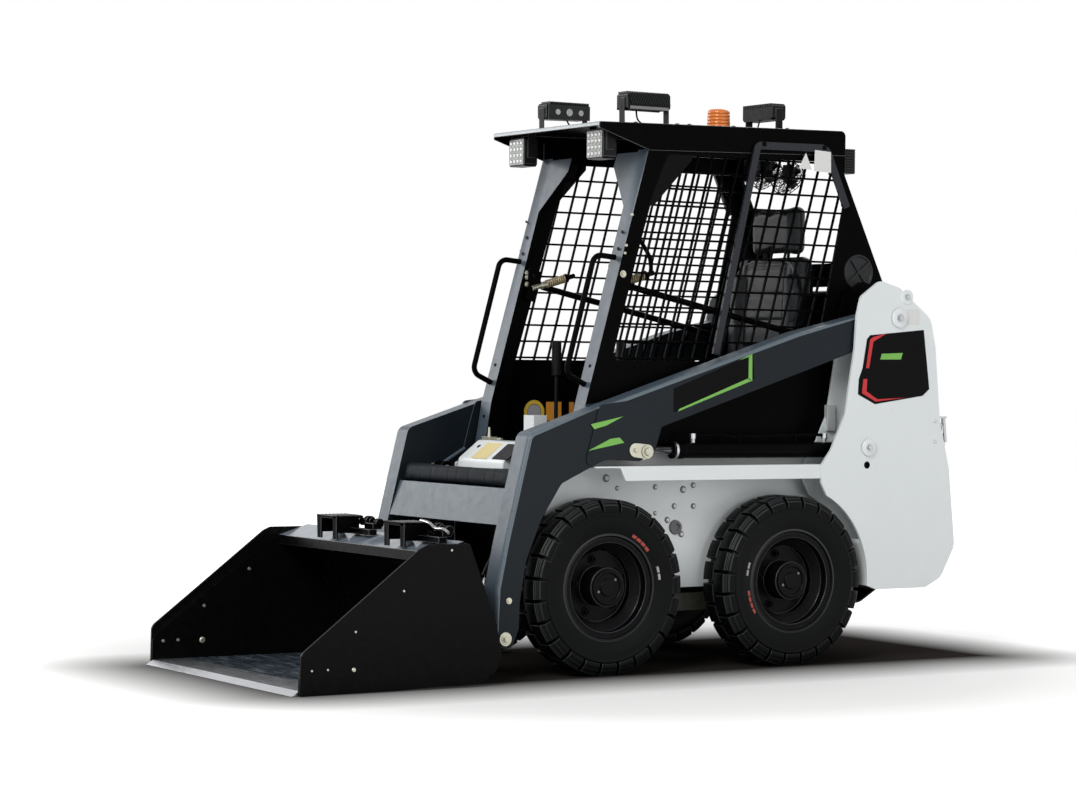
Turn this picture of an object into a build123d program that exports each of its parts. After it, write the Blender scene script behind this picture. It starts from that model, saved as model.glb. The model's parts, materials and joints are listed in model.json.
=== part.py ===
from build123d import *
from math import asin, atan2, cos, degrees, hypot, radians, sin, tan
import os

# Skid steer loader, in millimetres. Forward is -Y, up is +Z, the machine's left is +X.
# The origin lies on the ground, below the middle of the whole machine.

# Wheels and the places of the axles
wheel_radius = 291.5        # to the corners of the tread lugs
wheel_width = 145.0
wheelbase = 753.0
front_axle_y = -130.6
rear_axle_y = front_axle_y + wheelbase
rim_radius = 152.4          # bead seat
rim_flange = 14.0           # height of the rim's flange over the bead seat
rim_wall = 5.0
rim_inset = 12.0            # the rim's flange, inside the tyre's side
rim_throat = 118.0          # inside of the barrel at the wheel disc
disc_inset = 73.0           # wheel disc, inwards from the outer flange
disc_wall = 8.0
hub_radius = 66.0
hub_inset = 6.0             # the hub's face, inwards from the outer flange
stub_radius = 32.0
lug_count = 24              # in each of the two rows
lug_height = 13.0
lug_length = 64.0           # along the tread
shoulder = 11.0             # the lugs' sloping ends, along the axle
shoulder_drop = 19.5

# Widths, from the middle outwards: tub, cab, inner tower plate, arm, outer tower plate
tub_half = 300.0            # outside of the tub's side plates
side_wall = 8.0
wheel_gap = 21.0            # tub to tyre
wheel_outer_x = tub_half + wheel_gap + wheel_width
wheel_x = wheel_outer_x - wheel_width / 2
cab_half = tub_half + 35.0
cab_wall = 8.0
roof_half = cab_half + 6.0
seat_half = cab_half - 115.0
inner_wall = 8.0
tower_wall = 10.0
arm_gap = 7.0               # beside the arm, to each tower plate
arm_width = 80.0
inner_x = cab_half + 10.0 + inner_wall            # outer face of an inner tower plate
arm_in_x = inner_x + arm_gap
arm_x = arm_in_x + arm_width                      # outer face of an arm
arm_mid_x = arm_x - arm_width / 2
tower_x = arm_x + arm_gap + tower_wall
sill_x = tower_x - 7.0
tilt_x = arm_in_x - 65.0    # middle of a tilt cylinder
bucket_half = 549.0

# Chassis tub
tub_front_y = front_axle_y - 150.0
tub_bottom_z = 190.0
side_bottom_z = 270.0
deck_z = 690.0
sill_lip = 49.0
sheet = 6.0                 # general sheet thickness

# Towers, one on each side behind the rear wheel
pivot_y = rear_axle_y + 451.0
pivot_z = 1200.0
lift_base_y = rear_axle_y + 321.0
lift_base_z = 738.0
arch_gap = 32.0             # wheel arch, around the rear tyre
tower_front = 120.0         # front edge over the arch, behind the rear axle
weight_front = 560.0        # counterweight, behind the rear axle
weight_top = 660.0

# Boom
boom_pin = 40.0
toe_y = front_axle_y - 388.0
toe_z = 136.0
toe_pin = 32.0
eye_y = front_axle_y + 155.0                      # lift rod's eye, at the arm
eye_z = 741.0
knee_y = front_axle_y - 200.0                     # tilt cylinder's base pin, on the arm
knee_z = 660.0
gusset_wall = 4.0

# Cylinders
lift_barrel = 54.0
lift_rod = 30.0
lift_eye = 60.0
lift_pin = 30.0
lift_eye_width = 48.0
tilt_barrel = 45.0
tilt_rod = 28.0
tilt_eye = 52.0
tilt_pin = 25.0
tilt_eye_width = 52.0
ear_reach = 115.0           # bucket pivot to the tilt rod's eye
ear_angle = 98.0
tilt_in = 48.0              # how far the tilt rod slides in when the bucket rolls back
cylinder_wall = 7.0
gland = 4.0                 # the gland's collar, over the barrel's diameter
fit = 0.05                  # radial clearance of a pin or piston
side_play = 1.0             # beside an eye, between its ears

# Bucket
bucket_sheet = 8.0
side_step = 40.0            # the bolted side boards, above the side plates
band_depth = 50.0           # front face of the box along the bucket's top
bucket_length = 818.0       # bucket pivot to the lip
bucket_height = 454.0
edge_width = 150.0
edge_wall = 16.0
edge_z = 1.0
heel_radius = 95.0
back_lean = 21.0            # degrees, top forward
coupler_wall = 12.0

# Cab
roof_z = 1834.0             # front edge of the roof, at its side
roof_slope = 19.0 / 1005.0
roof_skin = 4.0
roof_depth = 88.0
post_width = 65.0
post_top_y = 222.0          # front edge of the post under the roof, behind the front axle
post_top_z = 1752.0
floor_z = 450.0
seat_z = 800.0              # the box that carries the seat


def outline(rows, y0=0.0, z0=0.0):
    """Closed face in the YZ plane. The columns of a row are y, z and the corner's radius."""
    points = [(y0 + y, z0 + z) for y, z, _ in rows]
    return make_face(FilletPolyline(*points, radius=[r for _, _, r in rows], close=True))


def plate(face, x0, x1):
    """A flat face of the YZ plane, made solid from x0 to x1."""
    return extrude(Plane.YZ.offset(x0) * face, amount=x1 - x0)


def sheet_line(rows, wall, x0, x1, y0=0.0, z0=0.0):
    """Bent sheet: its middle line has the columns y, z and bend radius, ends without a bend."""
    points = [(y0 + y, z0 + z) for y, z, _ in rows]
    line = FilletPolyline(*points, radius=[r for _, _, r in rows[1:-1]])
    return plate(trace(line, line_width=wall), x0, x1)


def pin(y, z, diameter, x0, x1):
    return extrude(Plane.YZ.offset(x0) * Pos(y, z) * Circle(diameter / 2), amount=x1 - x0)


def box(x0, x1, y0, y1, z0, z1):
    return Pos((x0 + x1) / 2, (y0 + y1) / 2, (z0 + z1) / 2) * Box(x1 - x0, y1 - y0, z1 - z0)


def both(solid):
    """The left-hand piece and its mirror image."""
    return [solid, mirror(solid, about=Plane.YZ)]


def solids_of(items):
    found = []
    for item in items:
        found += item.solids() if hasattr(item, "solids") else [item]
    return found


def save(name, *items):
    export_step(Compound(children=solids_of(items)), f"parts/{name}.step")


os.makedirs("parts", exist_ok=True)


# Wheels: revolved about the X axis, with the wheel's middle at the origin

def toothed(x, lug, groove, turn):
    """Outline of one row of lugs, across the wheel at x."""
    pitch = 360.0 / lug_count
    half_lug = degrees(asin(lug_length / 2 / wheel_radius))
    points = []
    for k in range(lug_count):
        for angle, radius in ((-half_lug, lug), (half_lug, lug), (pitch / 2, groove)):
            place = radians(turn + k * pitch + angle)
            points.append((radius * cos(place), radius * sin(place)))
    return Plane.YZ.offset(x) * make_face(Polyline(*points, close=True))


def ring_face(x, radius):
    """Polygon with a side for each lug, its sides at the radius."""
    return Plane.YZ.offset(x) * RegularPolygon(radius, lug_count, major_radius=False)


def half_tyre(turn, swell):
    """One row of lugs with its shoulder and sidewall. Only the outer sidewall swells."""
    side = wheel_width / 2
    edge = side - 3.5
    bead = side - rim_inset - rim_wall
    tread = wheel_radius - lug_height
    foot = tread - shoulder_drop + 3.0
    row = toothed(edge - shoulder, wheel_radius, tread, turn)
    solid = extrude(toothed(0.0, wheel_radius, tread, turn), amount=edge - shoulder)
    solid += loft([row, toothed(edge, wheel_radius - shoulder_drop, foot, turn)], ruled=True)
    widest = ring_face(edge, foot - 4.0)
    if swell:
        widest = ring_face(side, 232.0)
        solid += loft([ring_face(edge, foot - 4.0), widest], ruled=True)
    return solid - loft([ring_face(bead, rim_radius + rim_flange), widest], ruled=True)


def tyre():
    inner_half = mirror(half_tyre(180.0 / lug_count, False), about=Plane.YZ)
    whole = half_tyre(0.0, True) + inner_half
    return whole - extrude(ring_face(-wheel_width, rim_radius), amount=2 * wheel_width)


def rim():
    flange = wheel_width / 2 - rim_inset
    seat = flange - rim_wall
    low = rim_radius - rim_wall
    high = rim_radius + rim_flange
    disc = flange - disc_inset
    back = disc - disc_wall
    face = flange - hub_inset
    bore = stub_radius + fit
    blind = face - 12.0
    rows = [(seat, rim_radius), (seat, high), (flange, high), (flange, low), (flange - 30.0, low),
            (disc + 22.0, rim_throat), (disc, rim_throat), (disc, hub_radius), (face, hub_radius),
            (face, 0.0), (blind, 0.0), (blind, bore), (back, bore), (back, low), (-flange, low),
            (-flange, high),
            (-seat, high), (-seat, rim_radius)]
    return revolve(make_face(Polyline(*rows, close=True)), axis=Axis.X)


tyre_solid = tyre()
rim_solid = rim()
for name, axle_y in (("front", front_axle_y), ("rear", rear_axle_y)):
    place = Pos(wheel_x, axle_y, wheel_radius)
    save(f"{name}_left_tyre", place * tyre_solid)
    save(f"{name}_left_rim", place * rim_solid)
    save(f"{name}_right_tyre", mirror(place * tyre_solid, about=Plane.YZ))
    save(f"{name}_right_rim", mirror(place * rim_solid, about=Plane.YZ))

# Axle stubs, from the tub's side out into each wheel's hub
stub_end_x = wheel_x + wheel_width / 2 - rim_inset - hub_inset - 13.0
stubs = []
for axle_y in (front_axle_y, rear_axle_y):
    stub = pin(axle_y, wheel_radius, stub_radius * 2, tub_half, stub_end_x)
    stub += pin(axle_y, wheel_radius, stub_radius * 2 + 58, tub_half, tub_half + 12)
    stubs += both(stub)
save("axle_stubs", *stubs)


# Chassis tub: side plates, belly with the front wall, sills over the wheels

tub_end_y = rear_axle_y + weight_front
side = plate(outline([(tub_front_y, side_bottom_z, 30), (tub_front_y, deck_z - sheet, 10),
                      (tub_end_y, deck_z - sheet, 0), (tub_end_y, side_bottom_z, 0)]),
             tub_half - side_wall, tub_half)

belly_half = tub_half - side_wall
belly = sheet_line([(tub_front_y + sheet / 2, deck_z - 30, 0),
                    (tub_front_y + sheet / 2, tub_bottom_z + 70, 40),
                    (tub_front_y + 120, tub_bottom_z + sheet / 2, 60),
                    (rear_axle_y + 420, tub_bottom_z + sheet / 2, 60),
                    (tub_end_y - 4, side_bottom_z + sheet / 2, 0)], sheet, -belly_half, belly_half)
rail_front_y = front_axle_y + 357.0
for x0, x1 in ((tub_half - 36, tub_half), (-tub_half, -tub_half + 36)):
    belly += box(x0, x1, rail_front_y, rear_axle_y + 380, tub_bottom_z, side_bottom_z - 20)
save("belly_pan", belly)

sill_front_y = front_axle_y - 52.0
sill_end_y = rear_axle_y + tower_front
sill = box(tub_half - side_wall, sill_x, sill_front_y, sill_end_y, deck_z - sheet, deck_z)
sill += plate(outline([(front_axle_y + 43, deck_z, 0), (front_axle_y + 67, deck_z - sill_lip, 0),
                       (sill_end_y, deck_z - sill_lip, 0), (sill_end_y, deck_z, 0)]), sill_x - sheet, sill_x)
save("sills", *both(sill))


# Towers: the outer plate has the wheel arch, the inner one carries the cab

def tower_outline():
    rows = [(tower_front, 625.0, 20), (tower_front, 689.0, 10), (tower_front + 39.0, 739.0, 40),
            (218.0, 860.0, 60), (258.0, 1092.0, 150),
            (265.0, 1205.0, 60), (282.0, 1272.0, 30), (366.0, 1330.0, 40), (454.0, 1305.0, 30),
            (594.0, 1200.0, 60), (618.0, 1100.0, 120), (642.0, 842.0, 60), (687.0, 665.0, 80),
            (716.0, 396.0, 60), (655.0, 285.0, 60), (584.0, 251.0, 30), (364.0, 251.0, 10),
            (316.0, 268.0, 8)]
    face = outline(rows, rear_axle_y)
    return face - Pos(rear_axle_y, wheel_radius) * Circle(wheel_radius + arch_gap)


tower_face = tower_outline()
outer = plate(tower_face, tower_x - tower_wall, tower_x)
outer -= pin(lift_base_y - 4, lift_base_z - 52, 24, tower_x - tower_wall, tower_x)
outer -= pin(pivot_y, pivot_z, boom_pin, tower_x - tower_wall, tower_x)
outer -= pin(lift_base_y, lift_base_z, lift_pin, tower_x - tower_wall, tower_x)
save("tower_outer_plates", *both(outer))

inner_end = 604.0            # behind the rear axle, where the rear door begins
tower_long = 2000.0         # more than a tower's height
inner_face = tower_face - Pos(rear_axle_y + inner_end + 100, 700) * Rectangle(200, tower_long)
inner = plate(inner_face, inner_x - inner_wall, inner_x)
inner -= pin(pivot_y, pivot_z, boom_pin, inner_x - inner_wall, inner_x)
inner -= pin(lift_base_y, lift_base_z, lift_pin, inner_x - inner_wall, inner_x)

# Rear strip of a tower: the outline's rear and lower edge, folded in between the two plates
strip_zone = Pos(rear_axle_y + 575, 690) * Rectangle(550, 900)
strip_face = (tower_face - offset(tower_face, amount=-sheet)) & strip_zone
strip = plate(strip_face, inner_x, tower_x - tower_wall)
save("tower_rear_strips", *both(strip))

# Chassis sides, with the boxes that carry the inner tower plates
side += box(tub_half, inner_x - inner_wall, rear_axle_y + 340, tub_end_y - 20, 300.0, 640.0)
save("chassis_sides", *both(side))

pins = []
for y, z, diameter in ((pivot_y, pivot_z, boom_pin), (lift_base_y, lift_base_z, lift_pin)):
    body = pin(y, z, diameter, inner_x - inner_wall, tower_x)
    body += pin(y, z, diameter + 16, tower_x, tower_x + 5)
    pins += both(body)
save("tower_pins", *pins)

# Rear counterweight between the towers, under the door
weight_face = outline([(0.0, weight_top, 0), (126.0, weight_top, 20), (152.0, 396.0, 60), (92.0, 289.0, 60),
                       (22.0, 255.0, 20), (0.0, 255.0, 0)], tub_end_y)
save("rear_counterweight", plate(weight_face, -(inner_x - inner_wall), inner_x - inner_wall))

# Battery pack, one plain stepped block under the seat and behind it
pack_top = 1010.0
pack_half = belly_half - 22.0
pack_low = side_bottom_z + 30.0
pack = box(-pack_half, pack_half, front_axle_y + 620, tub_end_y, pack_low, seat_z - 10)
pack += box(-pack_half, pack_half, rear_axle_y + 345, tub_end_y, pack_low, pack_top)
save("battery_pack", pack)


# Boom: two arms, the plate between them in front, and their pins

def arm_solid():
    end = 46.0
    rows = [(-414.0, toe_z - 31, 26), (-421.0, 292.0, 120), (-388.0, 450.0, 200), (-302.0, 799.0, 34),
            (785.0, 1144.0, 400)]
    front = [(front_axle_y + y, z, r) for y, z, r in rows]
    rear = [(pivot_y + end, pivot_z + 50, end), (pivot_y + end, pivot_z - 46, end)]
    rows = [(214.0, 820.0, 14), (188.0, 738.0, 30), (128.0, 706.0, 20), (-8.0, 713.0, 60),
            (-178.0, 636.0, 40), (-256.0, 518.0, 60), (-312.0, 385.0, 100), (-334.0, 250.0, 60),
            (-336.0, 168.0, 20),
            (-362.0, toe_z - 31, 22)]
    under = [(front_axle_y + y, z, r) for y, z, r in rows]
    arm = plate(outline(front + rear + under), arm_in_x, arm_x)
    pocket_wall = (arm_width - lift_eye_width - 2 * side_play) / 2
    pocket = outline([(eye_y - 62, 600.0, 0), (eye_y - 62, eye_z + 40, 30), (eye_y + 60, eye_z + 52, 20),
                      (eye_y + 140, eye_z + 40, 0), (eye_y + 140, 600.0, 0)])
    arm -= plate(pocket, arm_in_x + pocket_wall, arm_x - pocket_wall)
    arm -= pin(pivot_y, pivot_z, boom_pin + 2 * fit, arm_in_x, arm_x)
    arm -= pin(toe_y, toe_z, toe_pin, arm_in_x, arm_x)
    gusset = outline([(-35.0, 892.0, 20), (75.0, 906.0, 30), (163.0, 905.0, 20), (208.0, 876.0, 30),
                      (211.0, 818.0, 60), (185.0, 740.0, 28), (127.0, 709.0, 20), (-8.0, 716.0, 60),
                      (-95.0, 678.0, 20)], front_axle_y)
    arm += plate(gusset, arm_x, arm_x + gusset_wall)
    arm += plate(gusset, arm_in_x - gusset_wall, arm_in_x)
    return arm


left_arm = arm_solid()
save("arm_left", left_arm)
save("arm_right", mirror(left_arm, about=Plane.YZ))

cross_plate = outline([(-334.0, 618.0, 0), (-375.0, 500.0, 0), (-367.0, 497.0, 0), (-328.0, 610.0, 4),
                       (-268.0, 610.0, 0), (-268.0, 618.0, 0)], front_axle_y)
save("boom_cross_plate", plate(cross_plate, -arm_in_x, arm_in_x))
pad_rows = [(-334.0, 618.0, 12), (-318.0, 680.0, 26), (-268.0, 682.0, 24), (-266.0, 618.0, 10)]
pad = outline(pad_rows, front_axle_y)
save("boom_pad", plate(pad, -arm_in_x, arm_in_x))

toe_body = pin(toe_y, toe_z, toe_pin, arm_in_x - arm_gap - 14, arm_x)
toe_body += pin(toe_y, toe_z, toe_pin + 14, arm_x, arm_x + 6)
knee_body = pin(knee_y, knee_z, tilt_pin, tilt_x - tilt_eye_width / 2 - 8, arm_in_x)
knee_body += pin(knee_y, knee_z, tilt_pin + 10, tilt_x + tilt_eye_width / 2 + side_play, arm_in_x)
eye_cap = pin(eye_y, eye_z, lift_pin + 12, arm_x + gusset_wall, arm_x + gusset_wall + 6)
eye_cap_inner = pin(eye_y, eye_z, lift_pin + 12, arm_in_x - gusset_wall - 6, arm_in_x - gusset_wall)
pins = both(toe_body) + both(knee_body) + both(eye_cap) + both(eye_cap_inner)
save("boom_pins", *pins)


# Cylinders. Each is laid out along local +X from its base pin, then turned to its rod's eye.

def laid(solid, base_y, base_z, far_y, far_z, x):
    """Local X runs from the base pin to the far pin, local Z is the pins' own axis."""
    turn = degrees(atan2(far_z - base_z, far_y - base_y))
    return Plane.YZ.offset(x) * Pos(base_y, base_z) * Rot(0, 0, turn) * solid


def along(start, end, diameter, inner=0.0):
    ring = Circle(diameter / 2) - Circle(inner / 2) if inner else Circle(diameter / 2)
    return extrude(Plane.YZ.offset(start) * ring, amount=end - start)


def barrel_solid(length, diameter, rod, eye_size, hole, width):
    start = eye_size / 2 - 6
    body = along(start, length, diameter)
    body += along(length - 46, length, diameter + gland)
    body -= along(start + 22, length - 34, diameter - 2 * cylinder_wall)
    body -= along(length - 40, length + 1, rod + 2 * fit)
    ear = extrude(Plane.XY.offset(-width / 2) * Circle(eye_size / 2), amount=width)
    neck = Pos(start / 2, 0) * Rectangle(start, eye_size * 0.8)
    ear += extrude(Plane.XY.offset(-width / 2) * neck, amount=width)
    return body + ear - eye_hole(0.0, hole, width)


def eye_hole(at, hole, width):
    return extrude(Plane.XY.offset(-width / 2 - 1) * Pos(at, 0) * Circle(hole / 2), amount=width + 2)


def rod_solid(reach, piston_at, diameter, bore, eye_size, hole, width):
    body = along(piston_at, reach - eye_size / 2 + 4, diameter)
    body += along(piston_at, piston_at + 30, bore - 2 * fit)
    body += extrude(Plane.XY.offset(-width / 2) * Pos(reach, 0) * Circle(eye_size / 2), amount=width)
    return body - eye_hole(reach, hole, width) + eye_hole(reach, hole, width - 4)


lift_length = hypot(eye_y - lift_base_y, eye_z - lift_base_z)
lift_barrel_length = lift_base_y - front_axle_y - 281.0
lift_body = barrel_solid(lift_barrel_length, lift_barrel, lift_rod, lift_eye,
                         lift_pin + 2 * fit, lift_eye_width)
lift_rod_body = rod_solid(lift_length, lift_eye / 2 + 28, lift_rod, lift_barrel - 2 * cylinder_wall,
                          lift_eye, lift_pin, lift_eye_width)
lift_place = (lift_base_y, lift_base_z, eye_y, eye_z, arm_mid_x)
save("lift_barrels", *both(laid(lift_body, *lift_place)))
save("lift_rods", *both(laid(lift_rod_body, *lift_place)))

ear_y = toe_y + ear_reach * cos(radians(ear_angle))
ear_z = toe_z + ear_reach * sin(radians(ear_angle))
tilt_length = hypot(ear_y - knee_y, ear_z - knee_z)
tilt_barrel_length = tilt_length - tilt_in - tilt_eye / 2 - 8.0
tilt_body = barrel_solid(tilt_barrel_length, tilt_barrel, tilt_rod, tilt_eye,
                         tilt_pin + 2 * fit, tilt_eye_width)
tilt_rod_body = rod_solid(tilt_length, tilt_eye / 2 + 70, tilt_rod, tilt_barrel - 2 * cylinder_wall,
                          tilt_eye, tilt_pin, tilt_eye_width)
tilt_place = (knee_y, knee_z, ear_y, ear_z, tilt_x)
save("tilt_barrels", *both(laid(tilt_body, *tilt_place)))
save("tilt_rods", *both(laid(tilt_rod_body, *tilt_place)))


# Bucket: the coupler that the arms carry, the shell, its sides and the cutting edge

lip_y = toe_y - bucket_length
back_slope = tan(radians(back_lean))
back_foot_y = toe_y - 30.0      # where the back's line would meet the ground


def back_y(z):
    return back_foot_y - z * back_slope


half_sheet = bucket_sheet / 2
shell_half = bucket_half - 2 * bucket_sheet
shell = sheet_line([(lip_y + edge_width, edge_z + edge_wall - half_sheet, 0),
                    (back_y(12.0) - 3, edge_z + edge_wall - half_sheet, heel_radius),
                    (back_y(bucket_height - half_sheet) - half_sheet, bucket_height - half_sheet, 12),
                    (back_y(bucket_height) - 120.0, bucket_height - half_sheet, 0)],
                   bucket_sheet, -shell_half, shell_half)
band_y = back_y(bucket_height) - 120.0
band_z = bucket_height - band_depth
shell += box(-shell_half, shell_half, band_y, band_y + bucket_sheet, band_z, bucket_height - half_sheet)
shell += box(-shell_half, shell_half, band_y, back_y(band_z) - half_sheet, band_z - bucket_sheet, band_z)
save("bucket_shell", shell)

# Sides: a welded plate inside a bolted board that stands higher along the slope
low_rows = [(-199.0, 319.0, 6), (-97.0, 58.0, 20), (-77.0, -38.0, 40), (-97.0, -92.0, 40),
            (-176.0, -122.0, 60), (-447.0, -133.0, 20), (-796.0, -135.0, 4)]
board_rows = [(-794.0, -7.0, 30), (-378.0, 308.0, 40), (-352.0, 319.0, 20)] + low_rows
plate_rows = [(-794.0, -7.0 - side_step, 30), (-352.0, 319.0 - side_step, 30),
              (-300.0, 319.0, 10)] + low_rows
bucket_side = plate(outline(board_rows, toe_y, toe_z), bucket_half - bucket_sheet, bucket_half)
bucket_side += plate(outline(plate_rows, toe_y, toe_z), shell_half, bucket_half - bucket_sheet)
save("bucket_sides", *both(bucket_side))

edge = plate(outline([(0.0, 0.0, 0), (edge_wall * 1.6, edge_wall, 0), (edge_width, edge_wall, 0),
                      (edge_width, 0.0, 0)], lip_y, edge_z), -shell_half, shell_half)
save("cutting_edge", edge)

# Coupler: a plate against the bucket's back, with ears for the bucket pivots and the tilt rods
coupler_half = arm_in_x - arm_gap
low_z = 100.0
high_z = 420.0
lean = hypot(1.0, back_slope)
gap_y = half_sheet + 3.0
coupler_plate = outline([(back_y(low_z) + gap_y, low_z, 0), (back_y(high_z) + gap_y, high_z, 0),
                         (back_y(high_z) + gap_y + coupler_wall * lean, high_z, 4),
                         (back_y(low_z) + gap_y + coupler_wall * lean, low_z, 4)])
coupler = plate(coupler_plate, -coupler_half, coupler_half)
rear_y = gap_y + coupler_wall * lean - 4.0
pivot_ear = outline([(back_y(110.0) + rear_y, 110.0, 0), (back_y(260.0) + rear_y, 260.0, 0),
                     (toe_y + 6, toe_z + 62, 24), (toe_y + 32, toe_z + 20, 24),
                     (toe_y + 30, toe_z - 32, 28), (toe_y - 30, toe_z - 40, 20)])
pivot_ear -= Pos(toe_y, toe_z) * Circle(toe_pin / 2 + fit)
coupler += plate(pivot_ear, coupler_half - 12, coupler_half)
tilt_ear = outline([(back_y(200.0) + rear_y, 200.0, 0), (back_y(390.0) + rear_y, 390.0, 0),
                    (ear_y - 20, ear_z + 42, 20), (ear_y + 34, ear_z + 16, 26),
                    (ear_y + 26, ear_z - 34, 26), (ear_y - 40, ear_z - 60, 20)])
play = tilt_eye_width / 2 + side_play
coupler += plate(tilt_ear, tilt_x - play - 10, tilt_x - play)
coupler += plate(tilt_ear, tilt_x + play, tilt_x + play + 10)
coupler += pin(ear_y, ear_z, tilt_pin + 12, tilt_x - play - 15, tilt_x - play - 10)
half = coupler - box(-bucket_half, 0, lip_y, pivot_y, 0, pivot_z)
save("coupler", half + mirror(half, about=Plane.YZ))


# Cab: hollow, with a leaning front post, an open side with a mesh, a roof and a rear wall

def cab_opening():
    rows = [(82.0, 1040.0, 20), (228.0, 1572.0, 60), (300.0, 1738.0, 30), (975.0, 1742.0, 60),
            (1050.0, 1600.0, 40), (1018.0, 1440.0, 60), (955.0, 1160.0, 60), (915.0, 1040.0, 30)]
    return outline(rows, front_axle_y)


def cab_post():
    rows = [(-54.0, deck_z, 0), (-22.0, 890.0, 0), (137.0, 1469.0, 200), (post_top_y, post_top_z, 0),
            (post_top_y + 70, post_top_z, 0), (209.0, 1472.0, 200), (59.0, 980.0, 0), (20.0, deck_z, 0)]
    return outline(rows, front_axle_y)


def post_gusset():
    """Plate at the post's top, in line with its front face, that widens inwards to the roof."""
    post_in = cab_half - post_width
    low = post_top_z - 192.0
    high = post_top_z - 7.0
    reach = 126.0
    rise = (post_top_y - 137.0) / (post_top_z - 1469.0)
    front_y = front_axle_y + post_top_y - (post_top_z - low) * rise
    rear_y = front_y + (high - low) * rise
    strip = plate(outline([(front_y, low, 0), (rear_y, high, 0), (rear_y + sheet, high, 0),
                           (front_y + sheet, low, 0)]), post_in - reach, post_in)
    zone = make_face(Polyline((post_in, low), (post_in - reach, low + 140), (post_in - reach, high),
                              (post_in, high), close=True))
    return strip & extrude(Plane.XZ * zone, amount=400, both=True)


def cab_side():
    rows = [(-56.0, deck_z, 10), (-22.0, 890.0, 0), (137.0, 1469.0, 200), (post_top_y, post_top_z, 0),
            (post_top_y, 1808.0, 0), (1045.5, 1824.0, 10), (1045.5, 1712.0, 30), (1236.0, 1310.0, 0),
            (1236.0, deck_z, 0)]
    face = outline(rows, front_axle_y)
    face -= cab_opening()
    side = plate(face, cab_half - cab_wall, cab_half)
    side += plate(cab_post(), cab_half - post_width, cab_half - cab_wall)
    return side + post_gusset()


left_side = cab_side()
save("cab_side_left", left_side)
save("cab_side_right", mirror(left_side, about=Plane.YZ))

roof_front_y = front_axle_y + 18.0
roof_rear_y = front_axle_y + 1050.0


def roof_top(y):
    return roof_z + (y - roof_front_y) * roof_slope


lip = 22.0
rear_lip = 40.0             # the roof's edge over the rear window
roof_rear_z = roof_top(roof_rear_y)
roof_profile = outline([(roof_front_y, roof_z - lip, 4), (roof_front_y, roof_z, 8),
                        (roof_rear_y, roof_rear_z, 20), (roof_rear_y, roof_rear_z - roof_depth, 0),
                        (roof_front_y + 205, roof_z - roof_depth, 30)])
roof = plate(roof_profile, -roof_half, roof_half)
inner_roof = outline([(roof_front_y - 10, roof_z - 200, 0),
                      (roof_front_y - 10, roof_top(roof_front_y - 10) - lip + roof_skin, 0),
                      (roof_front_y + 30, roof_top(roof_front_y + 30) - roof_skin, 0),
                      (roof_rear_y - roof_skin, roof_rear_z - roof_skin, 10),
                      (roof_rear_y - roof_skin, roof_z - 200, 0)])
roof -= plate(inner_roof, -cab_half - 0.3, cab_half + 0.3)
wall_half = cab_half - cab_wall
roof -= box(-wall_half, wall_half, roof_rear_y - 10, roof_rear_y + 10, roof_z - 200, roof_rear_z - rear_lip)
save("cab_roof", roof)

rear_wall = sheet_line([(1047.0, roof_rear_z - rear_lip, 0), (1047.0, 1712.0, 30), (1232.0, 1318.0, 0)],
                       sheet, -wall_half, wall_half, front_axle_y)
window_half = cab_half - 70.0
window = box(-window_half, window_half, front_axle_y + 1000, front_axle_y + 1300, 1400, roof_rear_z - 58)
save("cab_rear_wall", rear_wall - window)

cover_half = inner_x - inner_wall
cover = sheet_line([(1243.0, 1303.0, 0), (1346.0, 1196.0, 40), (1362.0, 1100.0, 0)], sheet,
                   -cover_half, cover_half, front_axle_y)
save("rear_cover", cover)

floor = sheet_line([(tub_front_y + 12, deck_z - sheet / 2, 0), (tub_front_y + 60, deck_z - sheet / 2, 20),
                    (tub_front_y + 150, floor_z, 40), (front_axle_y + 560, floor_z, 20),
                    (front_axle_y + 600, seat_z, 20), (front_axle_y + 1055, seat_z, 20),
                    (front_axle_y + 1105, 1290.0, 0)], sheet, -belly_half, belly_half)
save("cab_floor", floor)

seat_y = front_axle_y + 640.0
cushion = box(-seat_half, seat_half, seat_y, seat_y + 400, seat_z + sheet / 2 + 0.5, 900)
back_half = seat_half - 10.0
back_rows = [(290.0, 900.5, 20), (320.0, 1420.0, 30), (390.0, 1430.0, 30), (385.0, 900.5, 20)]
back = plate(outline(back_rows, seat_y), -back_half, back_half)
head_half = seat_half - 80.0
head_rows = [(338.0, 1435.0, 20), (350.0, 1605.0, 25), (410.0, 1605.0, 25), (400.0, 1435.0, 20)]
head = plate(outline(head_rows, seat_y), -head_half, head_half)
for x in (-head_half / 2, head_half / 2):
    post = Pos(x, seat_y + 360, 1434) * Cylinder(6, 20)
    head += post
    back -= post
save("seat", cushion, back, head)


# Side meshes: square wires in two layers inside the side plates, upright ones along the post's lean
wire = 7.0
mesh_pitch = 57.5
mesh_lap = 8.0
lean_slope = (228.0 - 82.0) / (1572.0 - 1040.0)
mesh_zone = offset(cab_opening(), amount=mesh_lap) - cab_post()
mesh_x = cab_half - cab_wall
uprights = []
for k in range(24):
    y = front_axle_y - 60.0 + k * mesh_pitch
    bar = make_face(Polyline((y, 1000.0), (y + wire, 1000.0), (y + wire + 800.0 * lean_slope, 1800.0),
                             (y + 800.0 * lean_slope, 1800.0), close=True)) & mesh_zone
    uprights += [plate(face, mesh_x - wire, mesh_x) for face in bar.faces() if face.area > 200]
crossbars = []
for k in range(13):
    z = 1048.0 + k * mesh_pitch
    bar = (Pos(front_axle_y + 560.0, z) * Rectangle(1300.0, wire)) & mesh_zone
    inner_face_x = mesh_x - wire - 0.3
    crossbars += [plate(face, inner_face_x - wire, inner_face_x) for face in bar.faces() if face.area > 200]
wires = uprights + crossbars
save("side_meshes", *wires, *[mirror(solid, about=Plane.YZ) for solid in wires])

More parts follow.
